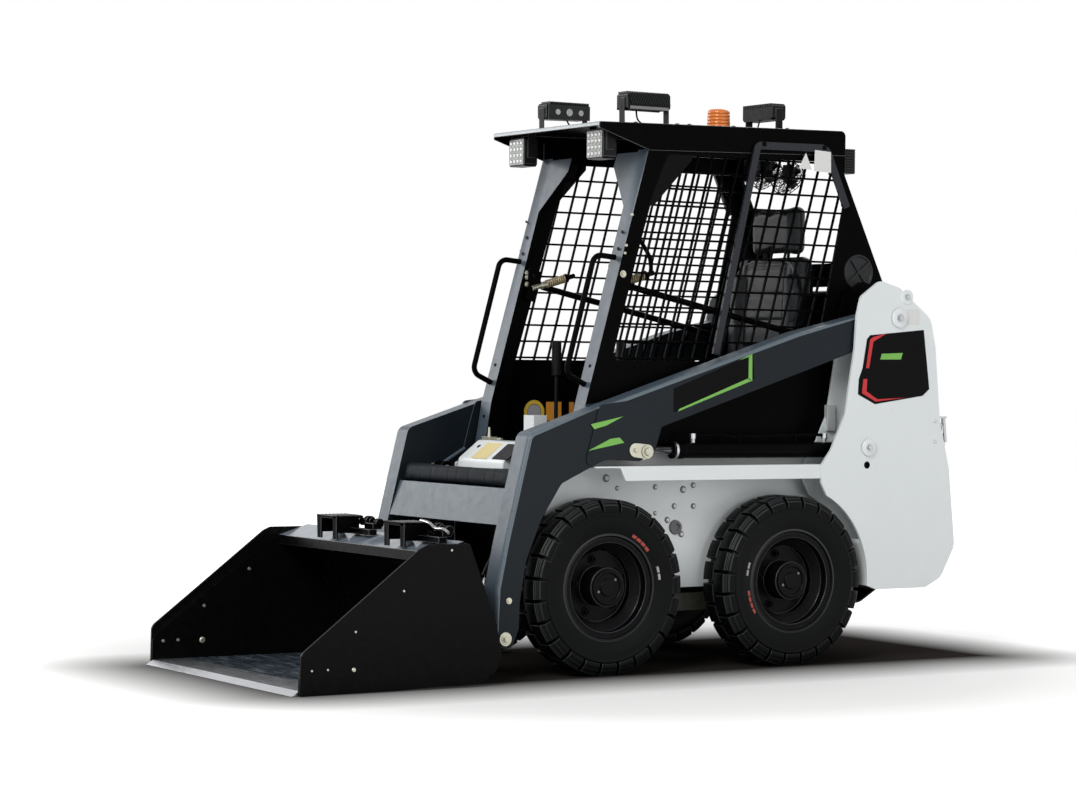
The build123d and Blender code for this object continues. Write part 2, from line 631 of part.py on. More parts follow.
frame_wall = 10.0
frame = sheet_line([(497.0, 1064.0, 0), (664.0, 1784.0, 16), (960.0, 1788.0, 40), (1052.0, 1585.0, 0)], 26.0,
                   roof_half, roof_half + frame_wall, front_axle_y)
for y, z in ((501.0, 1082.0), (1048.0, 1596.0)):
    frame += pin(front_axle_y + y, z, 24.0, cab_half, roof_half)
save("side_frames", *both(frame))


def tube(points, diameter):
    """Round tube along straight runs joined by arcs. The columns are x, y, z and bend radius."""
    places = [(x, y, z) for x, y, z, _ in points]
    line = FilletPolyline(*places, radius=[r for _, _, _, r in points[1:-1]])
    return sweep(Plane(origin=line @ 0, z_dir=line % 0) * Circle(diameter / 2), path=line)


rail = 19.0
rail_x = cab_half - post_width / 2
rail_out = 84.0
rise = Vector(lean_slope, 1.0).normalized()
rail_low = Vector(front_axle_y - 2.0, 958.0)
rail_high = Vector(front_axle_y + 114.0, 1384.0)
away = Vector(-rise.Y, rise.X)
rail_points = []
for spot, reach, bend in ((rail_low, 3.0, 0), (rail_low + rise * 14, rail_out, 34),
                          (rail_high - rise * 14, rail_out, 34), (rail_high, 3.0, 0)):
    place = spot + away * reach
    rail_points.append((rail_x, place.X, place.Y, bend))
save("grab_rails", *both(tube(rail_points, rail)))

bar_x = cab_half - post_width - 14.0
bar = tube([(bar_x, front_axle_y + 132, 1345.0, 0), (bar_x, front_axle_y + 168, 1298.0, 40),
            (bar_x, front_axle_y + 975, 1125.0, 0)], 22.0)
bar += box(bar_x - 4, cab_half - post_width, front_axle_y + 118, front_axle_y + 160, 1318.0, 1362.0)
bar += pin(front_axle_y + 975, 1125.0, 34.0, bar_x, cab_half - cab_wall)
save("restraint_bars", *both(bar))

lever_x = seat_half - 15.0
lever_y = front_axle_y + 205.0
lever_foot = floor_z + sheet / 2
grip_low = 985.0
grip = 120.0
stick = Pos(lever_x, lever_y, (lever_foot + grip_low) / 2) * Cylinder(7.0, grip_low - lever_foot)
stick += Pos(lever_x, lever_y, grip_low + grip / 2) * Cylinder(17.0, grip)
stick += Pos(lever_x, lever_y, lever_foot + 15) * Cylinder(30.0, 30.0)
save("control_levers", *both(stick))

cover_face = outline([(-150.0, 628.0, 0), (-215.0, 628.0, 8), (-206.0, 700.0, 24), (-126.0, 762.0, 24),
                      (-62.0, 762.0, 12), (-62.0, deck_z, 0), (-150.0, deck_z, 0)], front_axle_y)
save("front_cover", plate(cover_face, -180.0, 120.0))


def lamp(width, height, depth, lift):
    """A work lamp that looks along -Y, in a bracket with two legs, its foot at the origin."""
    body = Pos(0, -depth / 2, height / 2 + lift) * Box(width, depth, height)
    body = chamfer(body.edges().filter_by(Axis.Y), 8)
    leg = lift + height * 0.7
    for side in (-1, 1):
        leg_x = side * (width + bracket_wall) / 2
        body += Pos(leg_x, -depth / 2, leg / 2) * Box(bracket_wall, 2 * foot_half, leg)
    foot = Box(width + 2 * bracket_wall, 2 * foot_half, bracket_wall)
    return body + Pos(0, -depth / 2, bracket_wall / 2) * foot


seat_gap = 0.3              # between a part and the sloping roof it stands on
foot_half = 15.0
bracket_wall = 4.0
slope_turn = degrees(atan2(roof_slope, 1.0))
front_lamp_y = front_axle_y + 112.0
front_lamp_z = roof_top(front_lamp_y - 26 - foot_half) - roof_skin - seat_gap
lamps = both(Pos(cab_half - 85, front_lamp_y, front_lamp_z) * mirror(lamp(104, 100, 52, 16), about=Plane.XY))
side_lamp_y = front_axle_y + 255.0
side_lamp = Rot(slope_turn, 0, 0) * Rot(0, 0, 90) * lamp(176, 58, 60, 48)
lamps += both(Pos(cab_half - 110, side_lamp_y, roof_top(side_lamp_y) + seat_gap) * side_lamp)
back_lamp_y = front_axle_y + 885.0
back_lamp_z = roof_top(back_lamp_y + 30 + foot_half) + seat_gap
lamps += [Pos(40, back_lamp_y, back_lamp_z) * Rot(0, 0, 180) * lamp(176, 58, 60, 48)]
corner_x = cab_half - 55.0   # middle of a lamp at a rear corner
corner = box(corner_x - 48, corner_x + 48, roof_rear_y + 8, roof_rear_y + 52, 1706, 1790)
corner += box(corner_x - 20, corner_x + 20, roof_rear_y, roof_rear_y + 8, 1768, 1788)
lamps += both(corner)
beacon_y = front_axle_y + 730.0
lamps += [Pos(0, beacon_y, roof_top(beacon_y + 43) + seat_gap + 35) * Cylinder(43, 70)]
save("lamps", *lamps)

fan_y = front_axle_y + 950.0
fan = Pos(50, fan_y, 1715) * Rot(90, 0, 0) * Cylinder(58, 50)
fan_top = roof_top(fan_y - 8) - roof_skin - seat_gap
fan += Pos(50, fan_y, (1760 + fan_top) / 2) * Cylinder(8, fan_top - 1760)
save("cab_fan", fan)

# Rear door between the towers, hinged on the right
door_half = inner_x - inner_wall - 5.0
door_y = rear_axle_y + 591.0
door_wall = 18.0
door_low = weight_top + 12.0
door_high = 1086.0
hinge_x = -(inner_x - inner_wall) + 2.0
hinge_y = door_y + door_wall + 11.0
knuckle = 18.0
door = box(-door_half, door_half, door_y, door_y + door_wall, door_low, door_high)
louvre_pitch = 34.0
louvre_low = 740.0
louvre_half = door_half - 120.0
for k in range(8):
    z = louvre_low + k * louvre_pitch
    door -= box(-louvre_half, louvre_half, door_y - 1, door_y + door_wall + 1, z, z + 14)
half_knuckle = 30.0         # height of each half of a hinge
hinge_pin = 10.0
fixed = []
for z in (725.0, 985.0):
    joint = z + half_knuckle
    top = joint + half_knuckle
    door += Pos(hinge_x, hinge_y, (joint + 0.6 + top) / 2) * Cylinder(knuckle / 2, top - joint - 0.6)
    door += box(hinge_x, hinge_x + 60, door_y + door_wall, door_y + door_wall + 5, joint + 0.6, top)
    door += box(hinge_x, hinge_x + 8, door_y + door_wall, hinge_y, joint + 0.6, top)
    door -= Pos(hinge_x, hinge_y, joint + 15) * Cylinder(hinge_pin / 2 + fit, 60)
    lug = Pos(hinge_x, hinge_y, (z + joint) / 2) * Cylinder(knuckle / 2, half_knuckle)
    lug += Pos(hinge_x, hinge_y, joint + 15) * Cylinder(hinge_pin / 2, 32)
    lug += box(hinge_x - 8, hinge_x - 2, rear_axle_y + inner_end, hinge_y, z, joint)
    fixed.append(lug)
save("rear_door", door)
save("tower_inner_plates", inner, mirror(inner, about=Plane.YZ).fuse(*fixed))
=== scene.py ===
import bpy
import bmesh
import json
from math import cos, pi, radians, sin, tau
from mathutils import Matrix, Vector
from mathutils.bvhtree import BVHTree


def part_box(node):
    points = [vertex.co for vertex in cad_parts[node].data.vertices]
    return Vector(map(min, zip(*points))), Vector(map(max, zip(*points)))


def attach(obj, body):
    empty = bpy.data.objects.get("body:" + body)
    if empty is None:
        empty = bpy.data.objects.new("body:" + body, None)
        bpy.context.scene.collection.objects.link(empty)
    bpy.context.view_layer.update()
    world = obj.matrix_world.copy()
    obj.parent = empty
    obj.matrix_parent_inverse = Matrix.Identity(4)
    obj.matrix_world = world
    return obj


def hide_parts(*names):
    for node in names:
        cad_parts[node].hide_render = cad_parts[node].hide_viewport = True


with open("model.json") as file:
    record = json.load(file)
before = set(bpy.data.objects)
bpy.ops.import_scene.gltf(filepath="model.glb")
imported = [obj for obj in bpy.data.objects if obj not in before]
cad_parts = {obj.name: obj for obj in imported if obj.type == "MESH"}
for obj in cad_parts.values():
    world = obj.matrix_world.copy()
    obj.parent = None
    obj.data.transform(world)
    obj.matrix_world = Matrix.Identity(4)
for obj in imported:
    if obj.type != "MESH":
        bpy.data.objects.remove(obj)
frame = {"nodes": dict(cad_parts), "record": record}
nodes, record = frame["nodes"], frame["record"]
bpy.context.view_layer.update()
scene = bpy.context.scene
bodyOf = {n: body for body, group in record["behaviour"]["bodies"].items() for n in group}

# places that the details hang on, read from the frame
wheelLow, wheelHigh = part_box("front_left_tyre")
axleY = (wheelLow.y + wheelHigh.y) / 2              # front axle
axleZ = (wheelLow.z + wheelHigh.z) / 2
rearY = sum(c.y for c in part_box("rear_left_tyre")) / 2
wheelX = (wheelLow.x + wheelHigh.x) / 2
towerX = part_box("tower_outer_plates")[1].x
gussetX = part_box("arm_left")[1].x
gussetLift = 0.004
armX = gussetX - gussetLift
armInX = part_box("arm_left")[0].x + gussetLift
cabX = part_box("side_meshes")[1].x + 0.008
tubX = armX - 0.140
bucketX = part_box("bucket_sides")[1].x
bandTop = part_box("bucket_shell")[1].z
bandY = axleY - 0.7124                              # front edge of the bucket's bright plate
roofLow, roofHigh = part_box("cab_roof")
corners = [(end, side, y, sign) for end, y in (("front", axleY), ("rear", rearY))
           for side, sign in (("left", 1), ("right", -1))]
print("frame loaded:", len(nodes), "nodes")


def finishPiece(name, bm, looks, body, bevel=0.0, segments=2, angle=32, ease=30, recalc=True, edgeHighlight=None):
    # a bmesh becomes a piece that rides on a body; its bevels may take a painted-highlight look
    bmesh.ops.remove_doubles(bm, verts=bm.verts, dist=0.00001)
    if recalc:
        bmesh.ops.recalc_face_normals(bm, faces=bm.faces)
    mesh = bpy.data.meshes.new(name)
    bm.to_mesh(mesh)
    bm.free()
    for look in list(looks) + ([edgeHighlight] if edgeHighlight else []):
        mesh.materials.append(look)
    mesh.shade_smooth()
    mesh.set_sharp_from_angle(angle=radians(ease))
    piece = bpy.data.objects.new(name, mesh)
    scene.collection.objects.link(piece)
    if bevel:
        edge = piece.modifiers.new("edges", "BEVEL")
        edge.width = bevel
        edge.segments = segments
        edge.limit_method = "ANGLE"
        edge.angle_limit = radians(angle)
        edge.harden_normals = True
        edge.miter_outer = "MITER_ARC"
        edge.material = len(looks) if edgeHighlight else -1
    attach(piece, body)
    return piece


def cleanCopy(node):
    # a CAD node's mesh with its flat faces joined again; a face with a hole in it keeps its triangles
    bm = bmesh.new()
    bm.from_mesh(nodes[node].data)
    bmesh.ops.remove_doubles(bm, verts=bm.verts, dist=0.00002)
    flat = [e for e in bm.edges if e.is_manifold and e.calc_face_angle(9) < radians(0.6)]
    bmesh.ops.dissolve_edges(bm, edges=flat, use_verts=False, use_face_split=False)
    straight = [v for v in bm.verts if len(v.link_edges) == 2
                and abs(v.calc_edge_angle(0)) < radians(0.6)]
    bmesh.ops.dissolve_verts(bm, verts=straight)
    bm.normal_update()
    return bm


def dress(node, looks, bevel=0.002, segments=2, pick=None, edgeHighlight=None, drop=None, rounded=None,
          cutAt=None, shift=None):
    # a CAD node's own shape, with its edges eased and its faces painted one by one; its bevels may take a
    # painted-highlight look
    bm = cleanCopy(node)
    if cutAt:
        bmesh.ops.bisect_plane(bm, geom=bm.verts[:] + bm.edges[:] + bm.faces[:], plane_co=(0, 0, cutAt),
                               plane_no=(0, 0, 1))
    for v in bm.verts if shift else ():
        v.co += shift(v.co)
    if drop:
        bmesh.ops.delete(bm, geom=[v for v in bm.verts if drop(v.co)], context="VERTS")
    for face in bm.faces:
        face.material_index = pick(face.calc_center_median(), face.normal) if pick else 0
    if rounded:
        picked, width, look = rounded
        edges = [e for e in bm.edges if picked(e)]
        made = bmesh.ops.bevel(bm, geom=edges, offset=width, offset_type="OFFSET", segments=5, profile=0.5,
                               affect="EDGES", clamp_overlap=False, material=-1)
        for face in made["faces"]:
            face.material_index = look
    name = "".join(w.title() if k else w for k, w in enumerate(node.split("_")))
    piece = finishPiece(name, bm, looks, bodyOf[node], bevel, segments, recalc=False,
                        edgeHighlight=edgeHighlight)
    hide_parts(node)
    return piece


def turned(direction):
    # the turn that brings local Z onto a direction
    return Vector(direction).to_track_quat("Z", "Y").to_matrix().to_4x4()


def paintFaces(verts, look):
    for face in {f for v in verts for f in v.link_faces}:
        face.material_index = look
    return verts


def addBox(bm, middle, size, turn=None, look=0):
    place = Matrix.Translation(middle) @ (turn or Matrix()) @ Matrix.Diagonal((*size, 1))
    return paintFaces(bmesh.ops.create_cube(bm, size=1, matrix=place)["verts"], look)


def addRod(bm, start, end, radius, radius2=None, sides=20, look=0):
    start, end = Vector(start), Vector(end)
    place = Matrix.Translation((start + end) / 2) @ turned(end - start)
    made = bmesh.ops.create_cone(bm, cap_ends=True, segments=sides, radius1=radius,
                                 radius2=radius if radius2 is None else radius2,
                                 depth=(end - start).length, matrix=place)
    return paintFaces(made["verts"], look)


def addSpun(bm, profile, middle, direction, steps=48, look=0, closed=True):
    # profile rows are distance along the axis and radius
    verts = [bm.verts.new((r, 0, a)) for a, r in profile]
    pairs = list(zip(verts, verts[1:] + verts[:1])) if closed else list(zip(verts, verts[1:]))
    edges = [bm.edges.new(p) for p in pairs]
    before = set(bm.faces)
    bmesh.ops.spin(bm, geom=verts + edges, cent=(0, 0, 0), axis=(0, 0, 1), angle=tau, steps=steps, use_merge=True)
    fresh = [f for f in bm.faces if f not in before]
    place = Matrix.Translation(middle) @ turned(direction)
    bmesh.ops.transform(bm, matrix=place, verts=list({v for f in fresh for v in f.verts}))
    for face in fresh:
        face.material_index = look
    return fresh


def addSlab(bm, rows, thickness, place=None, look=0):
    # a flat outline of x and y rows, made solid along local Z, then put in place
    face = bm.faces.new([bm.verts.new((x, y, 0)) for x, y in rows])
    made = bmesh.ops.extrude_face_region(bm, geom=[face])
    top = [g for g in made["geom"] if isinstance(g, bmesh.types.BMVert)]
    bmesh.ops.translate(bm, verts=top, vec=(0, 0, thickness))
    verts = list(face.verts) + top
    if place is not None:
        bmesh.ops.transform(bm, matrix=place, verts=verts)
    return paintFaces(verts, look)


def addStud(bm, side, x0, x1, y, z, radius, radius2=None, sides=20, look=0):
    # a rod along X on one side of the machine
    return addRod(bm, (side * x0, y, z), (side * x1, y, z), radius, radius2, sides, look)


def addFins(bm, first, step, count, size, turn=None, look=0):
    # equal blades, one step apart
    for k in range(count):
        addBox(bm, Vector(first) + Vector(step) * k, size, turn, look)


def tipped(angle):
    return Matrix.Rotation(radians(angle), 4, "X")


def sideways(x, side=1):
    # local X and Y become the machine's Y and Z, on a plane at +-x; thickness goes outwards
    if side > 0:
        return Matrix(((0, 0, 1, x), (1, 0, 0, 0), (0, 1, 0, 0), (0, 0, 0, 1)))
    return Matrix(((0, 0, -1, -x), (1, 0, 0, 0), (0, 1, 0, 0), (0, 0, 0, 1)))


def fromAxle(rows):
    # outline rows are measured from the front axle
    return [(axleY + y, z) for y, z in rows]


def addBolt(bm, at, direction, size, look=0, washer=True):
    # a hexagon head on a washer
    at, way = Vector(at), Vector(direction).normalized()
    if washer:
        addRod(bm, at - way * 0.001, at + way * 0.0016, size * 0.75, look=look)
    addRod(bm, at, at + way * (0.0016 + size * 0.32), size * 0.5, sides=6, look=look)
    addRod(bm, at, at + way * (0.0016 + size * 0.38), size * 0.38, size * 0.3, sides=16, look=look)


def tubeMesh(bm, points, radius, look=0, sides=12):
    # a round bar, wire or pipe on one smooth line, joined into a bmesh
    curve = bpy.data.curves.new("line", "CURVE")
    curve.dimensions = "3D"
    curve.bevel_depth = radius
    curve.bevel_resolution = max(0, sides // 4 - 1)
    curve.use_fill_caps = True
    curve.resolution_u = 6
    spline = curve.splines.new("NURBS")
    spline.points.add(len(points) - 1)
    for point, place in zip(spline.points, points):
        point.co = (*place, 1)
    spline.use_endpoint_u = True
    spline.order_u = 3
    holder = bpy.data.objects.new("lineHolder", curve)
    mesh = bpy.data.meshes.new_from_object(holder)
    bpy.data.objects.remove(holder)
    before = set(bm.verts)
    bm.from_mesh(mesh)
    bpy.data.meshes.remove(mesh)
    return paintFaces([v for v in bm.verts if v not in before], look)


def mirrored(bm):
    # the same shapes on the machine's other side
    copied = bmesh.ops.duplicate(bm, geom=bm.verts[:] + bm.edges[:] + bm.faces[:])["geom"]
    verts = [g for g in copied if isinstance(g, bmesh.types.BMVert)]
    bmesh.ops.scale(bm, verts=verts, vec=(-1, 1, 1))
    bmesh.ops.reverse_faces(bm, faces=[g for g in copied if isinstance(g, bmesh.types.BMFace)])


def newNode(tree, kind, **sockets):
    made = tree.nodes.new(kind)
    for key, value in sockets.items():
        made.inputs[key].default_value = value
    return made


def noiseOn(tree, coords, scale, detail, stretch=None):
    source = coords
    if stretch:
        mapping = tree.nodes.new("ShaderNodeMapping")
        mapping.inputs["Scale"].default_value = stretch
        tree.links.new(coords, mapping.inputs["Vector"])
        source = mapping.outputs["Vector"]
    noise = newNode(tree, "ShaderNodeTexNoise", Scale=scale, Detail=detail, Roughness=0.6)
    tree.links.new(source, noise.inputs["Vector"])
    return noise.outputs["Fac"]


def ranged(tree, value, low, high, outLow=0.0, outHigh=1.0):
    made = newNode(tree, "ShaderNodeMapRange")
    for key, v in zip(("From Min", "From Max", "To Min", "To Max"), (low, high, outLow, outHigh)):
        made.inputs[key].default_value = v
    tree.links.new(value, made.inputs["Value"])
    return made.outputs["Result"]


def mixed(tree, amount, a, b):
    made = tree.nodes.new("ShaderNodeMix")
    made.data_type = "RGBA"
    tree.links.new(amount, made.inputs["Factor"])
    for key, value in (("A", a), ("B", b)):
        socket = [s for s in made.inputs if s.name == key and s.type == "RGBA"][0]
        if hasattr(value, "default_value"):
            tree.links.new(value, socket)
        else:
            socket.default_value = (*value, 1)
    return [s for s in made.outputs if s.type == "RGBA"][0]


def times(tree, a, b, operation="MULTIPLY"):
    made = tree.nodes.new("ShaderNodeMath")
    made.operation = operation
    made.use_clamp = True
    for k, value in enumerate((a, b)):
        if hasattr(value, "default_value"):
            tree.links.new(value, made.inputs[k])
        else:
            made.inputs[k].default_value = value
    return made.outputs[0]


# height at which dust has thinned out, what is left above it, and the roughness of clear coats
finishSet = {"dustTop": 0.75, "dustAbove": 0.12, "coatRough": 0.06}


def makeFinish(name, colour, rough, metal=0.0, coat=0.0, shine=0.5, dust=0.0, dustColour=(0.22, 0.2, 0.17),
               wear=0.0, wearColour=(0.5, 0.5, 0.5), grain=420.0, bump=0.04, tone=0.08, stretch=(1, 1, 1),
               wearStretch=(3, 40, 6)):
    # paint, rubber, plastic or metal with tone, dust near the ground, rubbed streaks and a fine skin
    look = bpy.data.materials.new(name)
    look.use_nodes = True
    tree = look.node_tree
    shader = tree.nodes["Principled BSDF"]
    for key, value in (("Metallic", metal), ("Coat Weight", coat), ("Coat Roughness", finishSet["coatRough"]),
                       ("Specular IOR Level", shine)):
        shader.inputs[key].default_value = value
    coords = tree.nodes.new("ShaderNodeTexCoord").outputs["Object"]
    broad = noiseOn(tree, coords, 2.6, 5.0)
    fine = noiseOn(tree, coords, 34.0, 8.0, stretch)
    darker = tuple(c * (1 - tone) for c in colour)
    lighter = tuple(min(1.0, c * (1 + tone)) for c in colour)
    paint = mixed(tree, ranged(tree, broad, 0.3, 0.7), darker, lighter)
    rougher = ranged(tree, fine, 0.25, 0.75, max(0.02, rough - 0.06), min(1.0, rough + 0.06))
    if wear:
        streaks = noiseOn(tree, coords, 5.0, 9.0, wearStretch)
        rubbed = times(tree, ranged(tree, streaks, 0.52, 0.70), wear)
        paint = mixed(tree, rubbed, paint, wearColour)
        rougher = times(tree, rougher, times(tree, rubbed, 0.3), "ADD")
    if dust:
        split = tree.nodes.new("ShaderNodeSeparateXYZ")
        tree.links.new(coords, split.inputs["Vector"])
        low = ranged(tree, split.outputs["Z"], 0.0, finishSet["dustTop"], 1.0, finishSet["dustAbove"])
        settled = times(tree, times(tree, low, ranged(tree, fine, 0.35, 0.75)), dust)
        paint = mixed(tree, settled, paint, dustColour)
        rougher = times(tree, rougher, times(tree, settled, 0.5), "ADD")
    tree.links.new(paint, shader.inputs["Base Color"])
    tree.links.new(rougher, shader.inputs["Roughness"])
    skin = noiseOn(tree, coords, grain, 3.0)
    raised = newNode(tree, "ShaderNodeBump", Strength=bump, Distance=0.002)
    tree.links.new(skin, raised.inputs["Height"])
    tree.links.new(raised.outputs["Normal"], shader.inputs["Normal"])
    return look


whitePaint = makeFinish("whitePaint", (0.76, 0.80, 0.81), 0.32, coat=0.25, dust=0.05, bump=0.03, tone=0.02)
greyPaint = makeFinish("greyPaint", (0.50, 0.52, 0.52), 0.38, dust=0.06, bump=0.03, tone=0.03)
slatePaint = makeFinish("slatePaint", (0.0085, 0.0125, 0.0165), 0.36, shine=0.13, dust=0.02, bump=0.05)
frameSlate = makeFinish("frameSlate", (0.007, 0.0095, 0.0135), 0.28, shine=0.3, bump=0.04)
# a lighter copy of slatePaint for faces turned to the front: painted light
slateFrontLit = makeFinish("slateFrontLit", (0.070, 0.095, 0.120), 0.36, shine=0.34, dust=0.03, bump=0.04)
# light slate for rounded and bevelled edges: a painted highlight
slateEdgeHighlight = makeFinish("slateEdgeHighlight", (0.10, 0.13, 0.155), 0.3, shine=0.5, bump=0.03)
# light grey for the roof's front-facing faces: painted light
roofEdge = makeFinish("roofEdge", (0.42, 0.46, 0.48), 0.3, shine=0.5, bump=0.03)
blackPaint = makeFinish("blackPaint", (0.0012, 0.0012, 0.0014), 0.3, shine=0.02, dust=0.01, bump=0.04)
# a lighter black for bevelled edges: a painted highlight
blackEdgeHighlight = makeFinish("blackEdgeHighlight", (0.03, 0.032, 0.035), 0.25, shine=0.5, bump=0.02)
bucketPaint = makeFinish("bucketPaint", (0.0022, 0.0024, 0.0023), 0.26, shine=0.055, wear=0.1, dust=0.008,
                         wearColour=(0.006, 0.0065, 0.007))
# light steel for the bucket sides' bevels: rubbed wear together with a painted highlight
bucketEdge = makeFinish("bucketEdge", (0.26, 0.265, 0.27), 0.25, shine=0.5, wear=0.5, wearColour=(0.5, 0.5, 0.5))
bucketWorn = makeFinish("bucketWorn", (0.034, 0.045, 0.058), 0.26, shine=0.7, wear=0.9, wearColour=(0.20, 0.25, 0.31),
                        wearStretch=(1.5, 14, 2), tone=0.4)
# bright slate for the up-facing faces along the bucket's top: a painted highlight with rubbed wear
bandHighlightAndWear = makeFinish("bandHighlightAndWear", (0.20, 0.235, 0.28), 0.16, shine=0.8, wear=0.6, wearColour=(0.42, 0.46, 0.52),
                       wearStretch=(4, 1, 2))
rimPaint = makeFinish("rimPaint", (0.0024, 0.0024, 0.0028), 0.34, shine=0.07, dust=0.01)
# a lighter black for the rims' bevels: a painted highlight
rimEdge = makeFinish("rimEdge", (0.011, 0.013, 0.018), 0.25, shine=0.4, dust=0.01)
tyreRubber = makeFinish("tyreRubber", (0.0022, 0.0026, 0.0027), 0.40, shine=0.07, dust=0.03,
                        dustColour=(0.02, 0.019, 0.018), grain=260.0, bump=0.08, tone=0.2)
# lighter, shinier rubber for the tread's bevels: a painted highlight
tyreEdgeHighlight = makeFinish("tyreEdgeHighlight", (0.020, 0.022, 0.024), 0.35, shine=0.35, grain=260.0, bump=0.1, tone=0.2)
plainSteel = makeFinish("plainSteel", (0.46, 0.47, 0.49), 0.3, metal=1.0, wear=0.4, wearColour=(0.65, 0.65, 0.67),
                        bump=0.06, stretch=(1, 12, 1))
brightSteel = makeFinish("brightSteel", (0.66, 0.67, 0.69), 0.14, metal=1.0, bump=0.02)
zincSteel = makeFinish("zincSteel", (0.50, 0.49, 0.40), 0.34, metal=0.75, tone=0.2, bump=0.08)
boltGrey = makeFinish("boltGrey", (0.16, 0.165, 0.17), 0.4, shine=0.4, tone=0.2, bump=0.08)
springSteel = makeFinish("springSteel", (0.33, 0.27, 0.16), 0.4, metal=0.3, tone=0.25, bump=0.05)
blackPlastic = makeFinish("blackPlastic", (0.0045, 0.0045, 0.005), 0.46, shine=0.12, grain=700.0, bump=0.1)
blackFins = makeFinish("blackFins", (0.008, 0.009, 0.010), 0.4, shine=0.25, grain=700.0, bump=0.05)
seatVinyl = makeFinish("seatVinyl", (0.0060, 0.0080, 0.0110), 0.36, shine=0.28, grain=260.0, bump=0.18, tone=0.15)
padVinyl = makeFinish("padVinyl", (0.010, 0.0130, 0.0165), 0.50, shine=0.06, grain=220.0, bump=0.2, tone=0.12)
pipingCord = makeFinish("pipingCord", (0.12, 0.14, 0.16), 0.5, grain=500.0, bump=0.1)
oliveRail = makeFinish("oliveRail", (0.022, 0.023, 0.017), 0.42, shine=0.3, dust=0.12, bump=0.05)


def labelPaint(name, colour, rough=0.45, tone=0.04):
    return makeFinish(name, colour, rough, bump=0.01, tone=tone)


greenPaint = labelPaint("greenPaint", (0.17, 0.45, 0.07), 0.4)
redPaint = labelPaint("redPaint", (0.55, 0.012, 0.018), 0.4)
tyreRed = makeFinish("tyreRed", (0.42, 0.05, 0.035), 0.55, bump=0.05, tone=0.2)
tyreWhite = makeFinish("tyreWhite", (0.42, 0.42, 0.41), 0.55, bump=0.05, tone=0.2)
yellowLabel = labelPaint("yellowLabel", (0.80, 0.66, 0.30))
ringYellow = labelPaint("ringYellow", (0.70, 0.48, 0.05))
ringGrey = labelPaint("ringGrey", (0.35, 0.36, 0.38))
orangeLabel = labelPaint("orangeLabel", (0.72, 0.29, 0.03))
signWhite = labelPaint("signWhite", (0.72, 0.72, 0.71), tone=0.02)
panelBlack = makeFinish("panelBlack", (0.002, 0.002, 0.0022), 0.3, shine=0.06, bump=0.01, tone=0.05)
beaconAmber = makeFinish("beaconAmber", (0.78, 0.19, 0.012), 0.22, coat=0.6, bump=0.02, tone=0.1)
lampCell = makeFinish("lampCell", (0.36, 0.37, 0.35), 0.22, metal=0.35, tone=0.25, bump=0.25, grain=160.0)
lampBezel = makeFinish("lampBezel", (0.17, 0.175, 0.17), 0.3, metal=0.2, bump=0.06)
print("finishes made")


def seenRays(tree):
    # one for the rays that see plain white: those of the camera, of mirrors and of glass
    path = tree.nodes.new("ShaderNodeLightPath")
    return times(tree, times(tree, path.outputs["Is Camera Ray"], path.outputs["Is Glossy Ray"], "ADD"),
                 path.outputs["Is Transmission Ray"], "ADD")


# the floor's painted shadow: middle, half size, soft edge and colour of the darkened rectangle
stageSet = {"floorHalf": 14.0, "shadowMiddle": (0, 0.09, 0), "shadowHalf": (0.46, 1.37, 0.1), "shadowEdge": 0.46,
            "shadowColour": (0.03, 0.026, 0.024), "paleColour": (0.84, 0.835, 0.83), "fade": (1.5, 3.2, 0.20),
            "worldLevel": 0.36, "lamps": (
    # name, place, size, power
    ("keyLamp", (5.0, -7.0, 6.5), 4.0, 540.0),
    ("frontBox", (-7.2, -4.0, 3.4), 3.6, 150.0),
    ("backLamp", (-4.0, 6.0, 6.0), 4.0, 160.0),
    ("sideLamp", (7.5, 1.5, 2.4), 3.6, 90.0))}
bm = bmesh.new()
bmesh.ops.create_grid(bm, x_segments=1, y_segments=1, size=stageSet["floorHalf"],
                      matrix=Matrix.Translation((0, 0, -0.0005)))
mesh = bpy.data.meshes.new("studioFloor")
bm.to_mesh(mesh)
bm.free()
floor = bpy.data.objects.new("studioFloor", mesh)
scene.collection.objects.link(floor)
floorLook = bpy.data.materials.new("floorLook")
floorLook.use_nodes = True
tree = floorLook.node_tree
tree.nodes.clear()
seen = seenRays(tree)
middle = tree.nodes.new("ShaderNodeVectorMath")
middle.operation = "LENGTH"
tree.links.new(tree.nodes.new("ShaderNodeTexCoord").outputs["Object"], middle.inputs[0])
far = ranged(tree, middle.outputs["Value"], *stageSet["fade"], 1.0)
# a shadow is painted on the floor: it is darkened in a soft-edged rectangle under the machine, which stays put in every
# pose
reach = tree.nodes["Texture Coordinate"].outputs["Object"]
for operation, value in (("SUBTRACT", stageSet["shadowMiddle"]), ("ABSOLUTE", (0, 0, 0)),
                         ("SUBTRACT", stageSet["shadowHalf"]), ("MAXIMUM", (0, 0, 0)), ("LENGTH", (0, 0, 0))):
    step = tree.nodes.new("ShaderNodeVectorMath")
    step.operation = operation
    tree.links.new(reach, step.inputs[0])
    step.inputs[1].default_value = value
    reach = step.outputs["Value" if operation == "LENGTH" else "Vector"]
lit = ranged(tree, reach, 0.0, stageSet["shadowEdge"])
far = times(tree, far, lit)
matt = newNode(tree, "ShaderNodeBsdfDiffuse")
tree.links.new(mixed(tree, lit, stageSet["shadowColour"], stageSet["paleColour"]), matt.inputs["Color"])
glow = newNode(tree, "ShaderNodeEmission", Color=(1, 1, 1, 1))
tree.links.new(times(tree, seen, far), glow.inputs["Strength"])
both = tree.nodes.new("ShaderNodeAddShader")
tree.links.new(matt.outputs[0], both.inputs[0])
tree.links.new(glow.outputs[0], both.inputs[1])
out = tree.nodes.new("ShaderNodeOutputMaterial")
tree.links.new(both.outputs[0], out.inputs["Surface"])
mesh.materials.append(floorLook)

